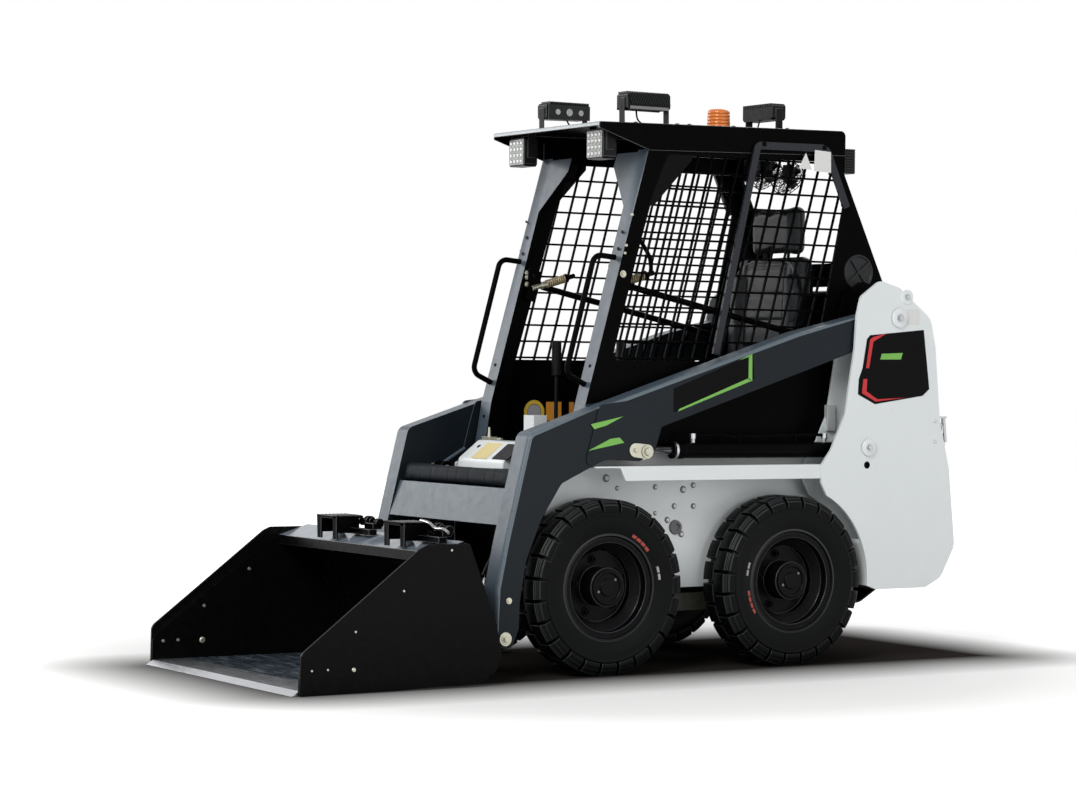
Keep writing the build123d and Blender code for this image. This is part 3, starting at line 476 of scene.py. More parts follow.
world = bpy.data.worlds.new("studio")
scene.world = world
world.use_nodes = True
tree = world.node_tree
tree.nodes["Background"].inputs["Color"].default_value = (1, 1, 1, 1)
tree.links.new(ranged(tree, seenRays(tree), 0.0, 1.0, stageSet["worldLevel"], 1.0),
               tree.nodes["Background"].inputs["Strength"])

for name, place, size, power in stageSet["lamps"]:
    lamp = bpy.data.lights.new(name, "AREA")
    lamp.size = size
    lamp.energy = power
    holder = bpy.data.objects.new(name, lamp)
    holder.matrix_world = Matrix.Translation(place) @ turned(Vector(place) - Vector((0, 0, 0.8)))
    scene.collection.objects.link(holder)

cameraSet = {"place": (8.470, -5.4146, 1.019), "azimuth": 58.03, "elevation": 0.77, "roll": 0.63, "lens": 97.68}
camera = bpy.data.objects.new("camera", bpy.data.cameras.new("camera"))
scene.collection.objects.link(camera)
scene.camera = camera
camera.data.lens = cameraSet["lens"]
camera.data.sensor_width = 36.0
camera.data.clip_end = 100.0
around, up, roll = (radians(cameraSet[k]) for k in ("azimuth", "elevation", "roll"))
back = Vector((sin(around) * cos(up), -cos(around) * cos(up), sin(up)))
right = Vector((0, 0, 1)).cross(back).normalized()
above = back.cross(right)
rolledRight = cos(roll) * right + sin(roll) * above
rolledAbove = -sin(roll) * right + cos(roll) * above
camera.matrix_world = (Matrix.Translation(cameraSet["place"])
                       @ Matrix((rolledRight, rolledAbove, back)).transposed().to_4x4())
scene.view_settings.view_transform = "Standard"
print("stage set")


# the CAD's own shapes, with eased edges

# faces turned to the front, or up and to the front, take the lighter slate copy as painted light
def frontLitFaces(centre, normal):
    return 1 if normal.y < -0.5 or (normal.z > 0.6 and normal.y < 0) else 0


def bucketFaces(centre, normal):
    # up-facing faces low in the bucket take its rubbed floor; up-facing faces along the top take a painted highlight
    # with rubbed wear
    if normal.z > 0.4 and centre.z < 0.2:
        return 1
    return 2 if centre.z > bandTop - 0.030 and normal.z > 0.4 else 0


def bandSlope(place):
    # the bright plate along the bucket's top slopes back from its front edge
    if place.z < bandTop - 0.009 or place.y > bandY + 0.02:
        return Vector((0, 0, 0.008 if place.z > bandTop - 0.001 and place.y > bandY + 0.02 else 0))
    return Vector((0, 0, -0.026))


# the roof's front faces take the light grey as painted light
def roofLitFaces(centre, normal):
    return 1 if normal.y < -0.5 and centre.y < roofLow.y + 0.01 else 0


def armLitFaces(centre, normal):
    # front-facing faces take the lighter slate copy as painted light; the gusset's own rim stays as dark as its side
    return 0 if abs(centre.x) > armX + 0.001 else frontLitFaces(centre, normal)


# the posts' front faces take the lighter slate copy as painted light
def postLitFaces(centre, normal):
    return 1 if normal.y < -0.5 and centre.y < axleY + 0.25 else 0


def railFaces(centre, normal):
    return 1 if abs(centre.x) > tubX - 0.04 or centre.y > rearY + 0.4 else 0


def stripFaces(centre, normal):
    return 1 if centre.z < 0.37 and normal.z < -0.3 else 0


# the height over which the inner tower plates are painted black as painted shade, and the rounding of the arms' outer
# edges, which carry a painted highlight
innerShadeZ, armEase = 1.10, 0.013


# faces above that height take black, a painted shade
def innerShadeFaces(centre, normal):
    return 1 if centre.z > innerShadeZ else 0


def armTop(edge):
    # outer upper and front edges of an arm, rounded and painted with a highlight
    if not edge.is_manifold or not edge.is_convex or any(abs(abs(v.co.x) - armX) > 0.0006 for v in edge.verts):
        return False
    y, z = edge.verts[0].co.y - axleY, edge.verts[0].co.z
    if (-0.12 < y < 0.40 or y > 1.0 or z < 0.24) and edge.calc_length() < 0.06:
        return False
    side = max(edge.link_faces, key=lambda f: abs(f.normal.x)).normal
    other = min(edge.link_faces, key=lambda f: abs(f.normal.x)).normal
    return abs(side.x) > 0.9 and abs(other.x) < 0.1 and (other.z > 0.2 or other.y < -0.3)


# the arms' and cab posts' front faces take the lighter slate copy as painted light; the arms' rounded edges and the
# bevels carry painted highlights
for side in ("left", "right"):
    dress(f"arm_{side}", [slatePaint, slateFrontLit, slateEdgeHighlight], 0.0022, pick=armLitFaces, rounded=(armTop, armEase, 2))
    dress(f"cab_side_{side}", [blackPaint, slateFrontLit], 0.002, pick=postLitFaces, edgeHighlight=blackEdgeHighlight)
# node, looks, bevel, and where they are wanted the edge's painted-highlight look and the picker of painted faces
for node, looks, bevel, *more in (
        ("boom_cross_plate", [slatePaint, slateFrontLit], 0.0015, slateEdgeHighlight, frontLitFaces),
        ("lift_barrels", [blackPaint], 0.0015, blackEdgeHighlight),
        ("tilt_barrels", [blackPaint], 0.0015, blackEdgeHighlight),
        ("chassis_sides", [whitePaint], 0.0015), ("sills", [whitePaint], 0.0015),
        ("tower_outer_plates", [whitePaint], 0.003),
        ("tower_inner_plates", [whitePaint, blackPaint], 0.0015, None, innerShadeFaces),
        ("tower_rear_strips", [whitePaint, oliveRail], 0.001, None, stripFaces),
        ("rear_counterweight", [whitePaint], 0.006), ("front_cover", [whitePaint], 0.004),
        ("rear_cover", [whitePaint], 0.0015), ("rear_door", [whitePaint], 0.002),
        ("bucket_shell", [bucketPaint, bucketWorn, bandHighlightAndWear], 0.0015, blackEdgeHighlight, bucketFaces),
        ("bucket_sides", [bucketPaint], 0.0018, bucketEdge), ("cutting_edge", [plainSteel], 0.001),
        ("coupler", [blackPaint], 0.002, blackEdgeHighlight),
        ("belly_pan", [blackPaint, oliveRail], 0.001, None, railFaces),
        ("cab_floor", [blackPaint], 0.001), ("cab_rear_wall", [blackPaint], 0.001),
        ("cab_roof", [blackPaint, roofEdge], 0.003, blackEdgeHighlight, roofLitFaces),
        ("side_frames", [frameSlate], 0.0025, blackEdgeHighlight), ("grab_rails", [blackPaint], 0.0),
        ("restraint_bars", [blackPaint], 0.0), ("control_levers", [blackPlastic], 0.002),
        ("axle_stubs", [rimPaint], 0.003), ("lift_rods", [brightSteel], 0.0),
        ("tilt_rods", [brightSteel], 0.0), ("boom_pins", [zincSteel], 0.0015),
        ("tower_pins", [whitePaint], 0.0015), ("battery_pack", [blackPlastic], 0.006)):
    edgeHighlight, pick = (more + [None, None])[:2]
    dress(node, looks, bevel, pick=pick, edgeHighlight=edgeHighlight, cutAt=innerShadeZ if node == "tower_inner_plates" else None,
          shift=bandSlope if node == "bucket_shell" else None)
dress("side_meshes", [blackPaint], 0.0)
for end, side, y, sign in corners:
    dress(f"{end}_{side}_rim", [rimPaint], 0.0022, 3, edgeHighlight=rimEdge)
print("CAD shapes dressed")


def spinFace(bm, rows, start, sweep, steps, look=0):
    # a closed outline of distance along X and radius, swept round the X axis
    turn = Matrix.Rotation(start, 4, "X")
    face = bm.faces.new([bm.verts.new(turn @ Vector((a, r, 0))) for a, r in rows])
    made = bmesh.ops.spin(bm, geom=[face], cent=(0, 0, 0), axis=(1, 0, 0), angle=sweep, steps=steps)
    last = [g for g in made["geom_last"] if isinstance(g, bmesh.types.BMVert)]
    reached, pending = set(last), list(last)
    while pending:
        for edge in pending.pop().link_edges:
            for v in edge.verts:
                if v not in reached:
                    reached.add(v)
                    pending.append(v)
    return paintFaces(list(reached), look)


tyreSet = {"lugs": 24, "lugSweep": 12.5, "body": (
    # across the wheel and radius, from the outer bead round the tread to the inner bead
    (0.0555, 0.1530), (0.0555, 0.1668), (0.0612, 0.1676), (0.0636, 0.1700), (0.0640, 0.1735), (0.0618, 0.1768),
    (0.0632, 0.1830), (0.0664, 0.1950), (0.0694, 0.2110), (0.0714, 0.2260), (0.0716, 0.2400), (0.0724, 0.2425),
    (0.0725, 0.2450), (0.0722, 0.2474), (0.0700, 0.2496), (0.0668, 0.2520), (0.0640, 0.2590), (0.0590, 0.2660),
    (0.0500, 0.2715), (0.0, 0.2735), (-0.0500, 0.2715), (-0.0600, 0.2660), (-0.0650, 0.2530), (-0.0684, 0.2400),
    (-0.0676, 0.2150), (-0.0640, 0.1900), (-0.0600, 0.1700), (-0.0555, 0.1668), (-0.0555, 0.1530)), "lug": (
    (0.0016, 0.2700), (0.0016, 0.2900), (0.0034, 0.2914), (0.0545, 0.2914), (0.0575, 0.2896), (0.0584, 0.2850),
    (0.0588, 0.2822), (0.0640, 0.2816), (0.0662, 0.2790), (0.0666, 0.2726), (0.0700, 0.2718), (0.0714, 0.2690),
    (0.0720, 0.2560), (0.0700, 0.2500), (0.0640, 0.2500), (0.0560, 0.2640)),
    # wheel end, angle and look of each moulded mark
    "marks": {"front": ((9.0, 1), (16.2, 1), (40.5, 2), (47.0, 2), (53.5, 2), (60.0, 2)),
              "rear": ((163.0, 1), (170.2, 1), (191.0, 2), (197.5, 2), (204.0, 2), (210.5, 2))}}


def tyreShape(marks):
    bm = bmesh.new()
    verts = [bm.verts.new((a, r, 0)) for a, r in tyreSet["body"]]
    edges = [bm.edges.new(p) for p in zip(verts, verts[1:] + verts[:1])]
    bmesh.ops.spin(bm, geom=verts + edges, cent=(0, 0, 0), axis=(1, 0, 0), angle=tau, steps=96, use_merge=True)
    pitch = tau / tyreSet["lugs"]
    half = radians(tyreSet["lugSweep"]) / 2
    for row, shift in ((1, 0.0), (-1, pitch / 2)):
        lug = [(row * a, r) for a, r in tyreSet["lug"]]
        for k in range(tyreSet["lugs"]):
            spinFace(bm, lug, shift + k * pitch - half, 2 * half, 4)
    for angle, look in marks:
        wide, low, high = ((6.6, 0.1930, 0.2030) if look == 1 else (5.8, 0.1850, 0.1970))
        lowA, highA = (0.0632 + (r - 0.183) * 0.24 for r in (low, high))
        strip = [(lowA - 0.002, low), (lowA + 0.0022, low), (highA + 0.0022, high), (highA - 0.002, high)]
        spinFace(bm, strip, radians(angle - wide / 2), radians(wide), 2, look)
    return bm


for end, side, y, sign in corners:
    bm = tyreShape(tyreSet["marks"][end] if sign > 0 else ())
    bmesh.ops.scale(bm, verts=bm.verts, vec=(sign, 1, 1))
    bmesh.ops.translate(bm, verts=bm.verts, vec=(sign * wheelX, y, axleZ))
    tyre = finishPiece(f"{end}{side.title()}Tyre", bm, [tyreRubber, tyreWhite, tyreRed],
                       f"wheel_{end}_{side}", 0.0014, angle=40, ease=38, edgeHighlight=tyreEdgeHighlight)
    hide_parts(f"{end}_{side}_tyre")
print("tyres made")

wheelSet = {"disc": -0.0125, "hub": 0.0545, "nuts": 5, "nutRing": 0.092,
            "ring": ((-0.002, 0.058), (0.0022, 0.058), (0.004, 0.0555), (0.004, 0.050), (0.001, 0.047),
                     (-0.002, 0.047))}
for end, side, y, sign in corners:
    bm = bmesh.new()
    middle = Vector((sign * wheelX, y, axleZ))
    out = Vector((sign, 0, 0))
    for k in range(wheelSet["nuts"]):
        turn = Matrix.Rotation(tau * k / wheelSet["nuts"] + 0.5, 3, "X")
        spot = middle + out * wheelSet["disc"] + turn @ Vector((0, wheelSet["nutRing"], 0))
        addRod(bm, spot - out * 0.001, spot + out * 0.003, 0.0165, sides=24)
        addRod(bm, spot, spot + out * 0.015, 0.0115, sides=6)
        addRod(bm, spot, spot + out * 0.024, 0.0062, 0.0052, sides=16)
    face = middle + out * wheelSet["hub"]
    addSpun(bm, wheelSet["ring"], face, out)
    addRod(bm, face, face + out * 0.004, 0.030, 0.027, sides=40)
    for k in (0.7, 3.5):
        spot = face + Matrix.Rotation(k, 3, "X") @ Vector((0, 0.0385, 0))
        addRod(bm, spot, spot + out * 0.003, 0.0050, 0.0040, sides=16, look=1)
    finishPiece(f"{end}{side.title()}WheelNuts", bm, [rimPaint, boltGrey], f"wheel_{end}_{side}",
                0.0008, 2, ease=32)
print("wheel nuts made")


armSet = {"panel": ((.261, .948), (.262, .871), (.276, .870), (.593, .983), (.586, 1.067)),
          "stripes": (((.569, 1.060), (.583, 1.068), (.584, .975), (.568, .981)),
                      ((.528, 1.045), (.583, 1.068), (.569, 1.057)),
                      ((.582, .976), (.278, .871), (.285, .880), (.570, .985))),
          "arrow": (((-.070, .829), (.057, .855), (-.009, .825), (-.056, .813)),
                    ((.008, .781), (.044, .785), (.062, .768), (-.079, .742))),
          "link": ((.105, .743), (.151, .738))}
bm = bmesh.new()
addSlab(bm, fromAxle(armSet["panel"]), 0.0006, sideways(armX + 0.0002))
for rows in armSet["stripes"]:
    addSlab(bm, fromAxle(rows), 0.0007, sideways(armX + 0.0006), 1)
for rows in armSet["arrow"]:
    addSlab(bm, fromAxle(rows), 0.0007, sideways(gussetX + 0.0002), 1)
finishPiece("armStripes", bm, [panelBlack, greenPaint], "boom")

bm = bmesh.new()
(boltY, boltZ), (nutY, nutZ) = armSet["link"]
plateX = gussetX + 0.0062
for side in (1, -1):
    start, end = Vector((0, axleY + boltY, boltZ)), Vector((0, axleY + nutY, nutZ))
    along = (end - start).normalized()
    across = Vector((0, -along.z, along.y))
    rows = []
    for centre, first, radius in ((start, 90, 0.0235), (end, -90, 0.0245)):
        for k in range(13):
            a = radians(first + 15 * k)
            spot = centre + radius * (cos(a) * along + sin(a) * across)
            rows.append((spot.y, spot.z))
    addSlab(bm, rows, 0.006, sideways(gussetX + 0.0004, side))
    out = (side, 0, 0)
    addRod(bm, (side * plateX, end.y, end.z), (side * (plateX + 0.004), end.y, end.z), 0.0195, sides=32)
    addBolt(bm, (side * (plateX + 0.003), end.y, end.z), out, 0.030)
    addBolt(bm, (side * plateX, start.y, start.z), out, 0.016, washer=False)
finishPiece("liftPinLinks", bm, [zincSteel], "boom", 0.0008)

bm = bmesh.new()
for side in (1, -1):
    for y, z, x, size in ((-.374, .259, armX, .014), (-.388, .136, armX + 0.006, .022)):
        addBolt(bm, (side * x, axleY + y, z), (side, 0, 0), size)
finishPiece("armBolts", bm, [zincSteel], "boom", 0.0005)

# grease pipes and elbows along each lift cylinder
pipeSet = {"x": 0.4005, "run": ((.368, .788), (.391, .7905), (.476, .793), (.511, .7845), (.735, .789), (.905, .793),
                                (.925, .787))}
bm = bmesh.new()
for side in (1, -1):
    points = [(side * pipeSet["x"], axleY + y, z) for y, z in pipeSet["run"]]
    tubeMesh(bm, points, 0.0055)
    for (y, z) in (pipeSet["run"][0], pipeSet["run"][-1]):
        spot = Vector((side * pipeSet["x"], axleY + y, z))
        addRod(bm, (spot.x, spot.y, 0.760), (spot.x, spot.y, z + 0.002), 0.0085, sides=6, look=1)
        addRod(bm, (spot.x, spot.y, z - 0.009), (spot.x, spot.y, z + 0.009), 0.0110, sides=24, look=1)
    for y in (.560, .800):
        addRod(bm, (side * pipeSet["x"], axleY + y, 0.762), (side * pipeSet["x"], axleY + y, 0.792), 0.004, sides=12)
        addBox(bm, (side * pipeSet["x"], axleY + y, 0.790), (0.016, 0.014, 0.009))
finishPiece("liftPipes", bm, [blackPaint, plainSteel], "lift_barrel_pair", 0.0008)

bm = bmesh.new()
base, eye = Vector((0, axleY + .9434 + .1306, .738)), Vector((0, axleY + .155, .741))
way = (eye - base).normalized()
reach = (axleY + .287) - base.y
for side in (1, -1):
    middle = Vector((side * (armInX + 0.040), base.y, base.z)) + way * abs(reach)
    addSpun(bm, ((0.0, 0.0155), (0.0025, 0.0155), (0.0025, 0.0225), (0.0, 0.0245)), middle, way, 40)
    addSpun(bm, ((-0.009, 0.0292), (-0.0035, 0.0300), (-0.0005, 0.0292), (-0.0005, 0.0160), (-0.009, 0.0160)),
            middle, way, 40, 1)
finishPiece("liftGlands", bm, [blackPlastic, plainSteel], "lift_barrel_pair")
print("boom trim made")


# lift, look and outline of each mark
towerSet = {"marks": (
    (0.0002, 0, ((1.077, 1.138), (1.316, 1.160), (1.344, .952), (1.314, .928), (1.101, .898), (1.026, .932),
                 (1.029, .985), (1.045, 1.023), (1.063, 1.124))),
    (0.0007, 1, ((1.090, 1.132), (1.076, 1.123), (1.060, 1.023), (1.073, 1.023), (1.091, 1.116), (1.151, 1.146))),
    (0.0007, 1, ((1.049, .985), (1.043, .936), (1.104, .907), (1.237, .921), (1.111, .915), (1.063, .943),
                 (1.066, .986))),
    (0.0007, 2, ((1.129, 1.074), (1.222, 1.078), (1.214, 1.055), (1.122, 1.054))),
    (0.0002, 3, ((1.242, 1.178), (1.296, 1.179), (1.294, 1.232), (1.241, 1.231))))}
bm = bmesh.new()
for lift, look, rows in towerSet["marks"]:
    addSlab(bm, fromAxle(rows), 0.0008, sideways(towerX + lift), look)
finishPiece("towerBadge", bm, [panelBlack, redPaint, greenPaint, signWhite], "chassis")

bm = bmesh.new()
for side in (1, -1):
    out = Vector((side, 0, 0))
    for y, z, radius, lift in ((1.074, .747, .030, 0.0050), (1.204, 1.200, .034, 0.0050), (1.239, 1.274, .026, 0.0)):
        spot = Vector((side * (towerX + lift), axleY + y, z))
        addSpun(bm, ((-0.001, 0.002), (0.0035, 0.002), (0.0035, radius * 0.90), (0.002, radius), (-0.001, radius)),
                spot, out)
        if radius > 0.02:
            addBolt(bm, spot + out * 0.0035, out, radius * 0.62, 1)
        else:
            addBolt(bm, spot + out * 0.0035, out, 0.012, 1, washer=False)
    hole = Vector((side * towerX, axleY + 1.070, .686))
    addSpun(bm, ((-0.011, 0.0), (-0.011, 0.0128), (0.0006, 0.0128), (0.0006, 0.0105), (-0.0085, 0.0100),
                 (-0.0085, 0.0)), hole, out, 32, 2, closed=False)
finishPiece("towerBosses", bm, [whitePaint, plainSteel, panelBlack], "chassis", 0.0006)

# toggle latch on each tower's rear edge: distance behind the front axle, height and size of its blocks
latchSet = {"x": towerX - 0.012, "lean": 6,
            "blocks": ((1.362, .800, (0.016, 0.022, 0.100)), (1.392, .852, (0.020, 0.072, 0.008)),
                       (1.392, .756, (0.020, 0.060, 0.008)), (1.356, .722, (0.012, 0.010, 0.062))),
            "handle": ((1.372, .838), (1.405, .834), (1.418, .815), (1.415, .780), (1.398, .768), (1.372, .766))}
bm = bmesh.new()
latchX = latchSet["x"]
for side in (1, -1):
    for y, z, size in latchSet["blocks"]:
        addBox(bm, (side * latchX, axleY + y, z), size)
    tubeMesh(bm, [(side * latchX, axleY + y, z) for y, z in latchSet["handle"]], 0.0042)
    addBox(bm, (side * latchX, axleY + 1.424, .806), (0.014, 0.010, 0.086), tipped(latchSet["lean"]))
    for y, z in (latchSet["handle"][0], latchSet["handle"][-1]):
        addStud(bm, side, latchX - 0.014, latchX + 0.014, axleY + y + 0.002, z, 0.007)
finishPiece("doorLatches", bm, [plainSteel], "chassis", 0.0012)

# stiffening plates and blocks beside the lift cylinders
bm = bmesh.new()
for side in (1, -1):
    addBox(bm, (side * (armInX - 0.006), axleY + .985, .848), (0.020, 0.036, 0.090))
    addSlab(bm, fromAxle(((1.081, 1.081), (1.028, .807), (.985, .760), (1.045, .760), (1.090, .860), (1.110, 1.080))),
            0.003, sideways(armInX - 0.007 + 0.0005, side))
finishPiece("towerStiffeners", bm, [greyPaint], "chassis", 0.002)

chassisSet = {"bolts": (
    (.337, .500, .013), (.395, .451, .013), (.401, .603, .015), (.443, .617, .012), (.365, .547, .012),
    (.444, .546, .012), (.286, .613, .011), (.287, .524, .009), (.132, .611, .010), (.087, .645, .016))}
bm = bmesh.new()
for side in (1, -1):
    out = Vector((side, 0, 0))
    for y, z, size in chassisSet["bolts"]:
        addStud(bm, side, tubX - 0.001, tubX + 0.0014, axleY + y, z, size * 0.85)
        addBolt(bm, (side * (tubX + 0.001), axleY + y, z), out, size, 1, washer=False)
    spot = Vector((side * tubX, axleY + .370, .475))
    addSpun(bm, ((-0.001, 0.0), (0.002, 0.0), (0.002, 0.0125), (0.009, 0.014), (0.009, 0.0225), (-0.001, 0.026)),
            spot, out, 32, closed=False)
    addBox(bm, (side * (cabX + 0.0025), axleY + .450, .709), (0.003, 0.960, .038), look=2)
finishPiece("chassisBolts", bm, [boltGrey, whitePaint, greyPaint], "chassis", 0.0006)
print("tower trim made")


bucketSet = {"bolts": ((-.824, .313), (-.993, .192), (-1.144, .078), (-1.089, .079), (-.653, .436)),
             "big": (-.998, .075), "innerX": 0.533, "hoods": ((0.226, 0.357), (-0.237, -0.102)),
             "front": -0.7124, "top": 0.058}
bm = bmesh.new()
for side in (1, -1):
    for y, z in bucketSet["bolts"] + (bucketSet["big"],):
        radius = 0.0095 if (y, z) == bucketSet["big"] else 0.0052
        addStud(bm, side, bucketX - 0.001, bucketX + 0.0012, axleY + y, z, radius * 0.85, radius * 0.6)
        if z < 0.43:
            inner = bucketSet["innerX"]
            addStud(bm, side, inner + 0.001, inner - 0.004, axleY + y, z, radius * 1.25, radius * 0.8)
finishPiece("bucketBolts", bm, [zincSteel], "bucket")

bm = bmesh.new()
hoodZ = bandTop + bucketSet["top"]
frontY = axleY + bucketSet["front"]
for k, (x0, x1) in enumerate(bucketSet["hoods"]):
    for x in (x0 + 0.013, x1 - 0.013):
        addBox(bm, (x, frontY - 0.002, bandTop + 0.020), (0.026, 0.008, 0.078))
        addBox(bm, (x, frontY + 0.040, bandTop + 0.030), (0.026, 0.084, 0.058))
    addBox(bm, ((x0 + x1) / 2, frontY + 0.045, hoodZ - 0.004), (x1 - x0, 0.102, 0.010))
    # the fins take the lighter black of the painted edge highlight all over
    addFins(bm, ((x0 + x1) / 2, frontY + 0.004, hoodZ + 0.0015), (0, 0.0145, 0), 7, (x1 - x0 - 0.016, 0.003, 0.003),
            look=2)
    barY = frontY + 0.102
    addRod(bm, (x1 - 0.02, barY, hoodZ - 0.020), (x1 + 0.055, barY, hoodZ - 0.016), 0.013)
    addRod(bm, (x1 + 0.020, barY, hoodZ - 0.018), (x1 + 0.042, barY, hoodZ - 0.018), 0.020)
    addBox(bm, (x1 + 0.075, barY - 0.010, hoodZ - 0.030), (0.060, 0.034, 0.020))
    addRod(bm, (x1 + 0.085, barY, hoodZ - 0.020), (x1 + 0.105, barY, hoodZ - 0.020), 0.016)
    addBox(bm, (x1 + 0.055, barY - 0.040, bandTop + 0.010), (0.150, 0.030, 0.020))
    grip = [(x1 - 0.030, barY - 0.030, hoodZ + 0.006), (x1 + 0.030, barY - 0.030, hoodZ + 0.003),
            (x1 + 0.060, barY - 0.028, hoodZ - 0.018), (x1 + 0.115, barY - 0.026, hoodZ - 0.012),
            (x1 + 0.135, barY - 0.022, hoodZ - 0.026)]
    if k == 0:
        tubeMesh(bm, grip, 0.0062, 1)
finishPiece("couplerLatches", bm, [blackPaint, brightSteel, blackEdgeHighlight], "bucket", 0.0018,
            edgeHighlight=blackEdgeHighlight)
print("bucket trim made")


cabSet = {"postBolts": ((.155, 1.5285), (.133, 1.425), (.128, 1.399), (.123, 1.329)), "vent": (1.115, 1.360, .064),
          "frameBolts": ((.69, 1.79), (.95, 1.79)), "innerBolts": (1.345, 1.330, 1.305),
          "plugs": (1.414, 1.471, 1.02, 0.84),
          "corner": ((.215, 1.560), (.250, 1.566), (.400, 1.722), (.400, 1.757), (.290, 1.757)),
          "cornerBolts": ((.307, 1.697), (.245, 1.612)),
          "square": ((.907, 1.780), (.977, 1.776), (.978, 1.703), (.904, 1.707)),
          "triangle": ((.838, 1.714), (.895, 1.710), (.868, 1.768)),
          "ring": (.190, .855), "orange": ((.240, .304), (.337, .357))}
bm = bmesh.new()
for side in (1, -1):
    out = Vector((side, 0, 0))
    for k, (y, z) in enumerate(cabSet["postBolts"]):
        addBolt(bm, (side * cabX, axleY + y, z), out, 0.016 if k == 3 else 0.010, 1, washer=k == 3)
    for y, z in cabSet["frameBolts"]:
        addBolt(bm, (side * (cabX + 0.0165), axleY + y, z), out, 0.012)
    for z in cabSet["innerBolts"]:
        addBolt(bm, (side * (cabX - 0.069), axleY + .118, z), (-side, 0, 0), 0.013, 1)
    for z in cabSet["plugs"]:
        frontY = axleY + (0.137 + (z - 1.469) * 0.2746 if z > 0.89 else -0.030) - 0.0004
        postX = side * (cabX - 0.030)
        addRod(bm, (postX, frontY + 0.002, z), (postX, frontY - 0.0012, z), 0.0060, sides=16)
    # plate across the opening's upper front corner
    addSlab(bm, fromAxle(cabSet["corner"]), 0.004, sideways(cabX - 0.0065, side))
    for y, z in cabSet["cornerBolts"]:
        addBolt(bm, (side * (cabX - 0.0065), axleY + y, z), (-side, 0, 0), 0.009, 1)
finishPiece("cabBolts", bm, [panelBlack, zincSteel], "chassis", 0.0004)

bm = bmesh.new()
y, z, radius = cabSet["vent"]
for side in (1, -1):
    spot = Vector((side * cabX, axleY + y, z))
    out = Vector((side, 0, 0))
    addSpun(bm, ((-0.001, radius), (0.007, radius - 0.002), (0.008, radius - 0.008), (0.004, radius - 0.011),
                 (0.004, 0.0), (-0.001, 0.0)), spot, out, closed=False)
    for k in range(2):
        turn = Matrix.Rotation(radians(38) + k * pi / 2, 4, "X")
        addBox(bm, spot + out * 0.006, (0.007, 2 * radius - 0.018, 0.008), turn)
    addRod(bm, spot, spot + out * 0.011, 0.010, 0.008, sides=32)
finishPiece("cabVents", bm, [blackFins], "chassis", 0.0008)

bm = bmesh.new()
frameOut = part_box("side_frames")[1].x
for sign in ("square", "triangle"):
    addSlab(bm, fromAxle(cabSet[sign]), 0.0008, sideways(frameOut + 0.0002))
finishPiece("cabSigns", bm, [signWhite], "chassis")

# blank labels on the far wall inside the cab
bm = bmesh.new()
wallX = cabX - 0.0088
y, z = cabSet["ring"]
spot = Vector((-wallX, axleY + y, z))
addSpun(bm, ((0.0, 0.042), (0.0012, 0.042), (0.0012, 0.029), (0.0, 0.029)), spot, (1, 0, 0))
addRod(bm, spot, spot + Vector((0.0010, 0, 0)), 0.027, sides=40, look=1)
for y0, y1 in cabSet["orange"]:
    addBox(bm, (-wallX + 0.0005, axleY + (y0 + y1) / 2, .858), (0.001, y1 - y0, .066), look=2)
    addBox(bm, (-wallX + 0.0009, axleY + (y0 + y1) / 2, .858), (0.001, 0.002, .066), look=1)
finishPiece("cabLabels", bm, [ringYellow, ringGrey, orangeLabel], "chassis")

# sprung stays over the restraint bars
bm = bmesh.new()
for side in (1, -1):
    x = side * (cabX - 0.085)
    low, high = Vector((x, axleY + .128, 1.290)), Vector((x, axleY + .292, 1.336))
    way = (high - low).normalized()
    addRod(bm, low, low + way * 0.062, 0.0095, sides=16, look=1)
    addRod(bm, low + way * 0.040, low + way * 0.062, 0.0125, sides=16, look=1)
    addRod(bm, low, high, 0.0050, sides=16, look=2)
    sideAxis = Vector((1, 0, 0))
    upward = way.cross(sideAxis).normalized()
    turns, steps = 9, 12
    coil = []
    for k in range(turns * steps + 1):
        a = tau * k / steps
        coil.append(low + way * (0.060 + 0.082 * k / (turns * steps)) + 0.0125 * (cos(a) * upward + sin(a) * sideAxis))
    tubeMesh(bm, coil, 0.0034, sides=8)
    addRod(bm, low + way * 0.142, low + way * 0.150, 0.0160, look=2)
    addRod(bm, high - way * 0.012, high + way * 0.012, 0.0085, sides=12, look=2)
    if side > 0:
        bend = ((0.0, 0.0), (0.004, 0.040), (-0.022, 0.085), (-0.060, 0.130))
        tubeMesh(bm, [high + Vector((0, y, z)) for y, z in bend], 0.0075, 2)
    addBox(bm, (x + side * 0.004, axleY + .138, 1.300), (0.008, 0.040, 0.110), tipped(-15), 2)
finishPiece("restraintSprings", bm, [springSteel, zincSteel, blackPaint], "chassis", 0.0006)
print("cab trim made")


def roofAt(y):
    # the roof's top falls 19 mm over its 1005 mm towards the front
    return roofHigh.z - (roofHigh.y - y) * (19.0 / 1005.0)


lampSet = {"front": (cabX - 0.085, axleY + 0.060), "side": (cabX - 0.110, axleY + 0.255),
           "rear": (0.040, axleY + 0.885)}


def beaconPart(place):
    return abs(place.x) < 0.05 and place.z > roofHigh.z - 0.04 and abs(place.y - axleY - 0.73) < 0.06


dress("lamps", [blackPlastic], 0.0025, edgeHighlight=blackEdgeHighlight, drop=beaconPart)


def addCells(bm, middle, out, across, rows, columns, width, height):
    # a lamp's glass with its bright cells, on a face that looks along out
    out, across = Vector(out), Vector(across)
    upward = out.cross(across)
    turn = Matrix((across, upward, out)).transposed().to_4x4()
    addBox(bm, Vector(middle) + out * 0.0006, (width, height, 0.003), turn, 1)
    for r in range(rows):
        for c in range(columns):
            spot = (Vector(middle) + across * ((c + 0.5) / columns - 0.5) * width * 0.96
                    + upward * ((r + 0.5) / rows - 0.5) * height * 0.96)
            size = min(width / columns, height / rows)
            addRod(bm, spot + out * 0.001, spot + out * 0.0045, size * 0.43, size * 0.25, 12, 2)


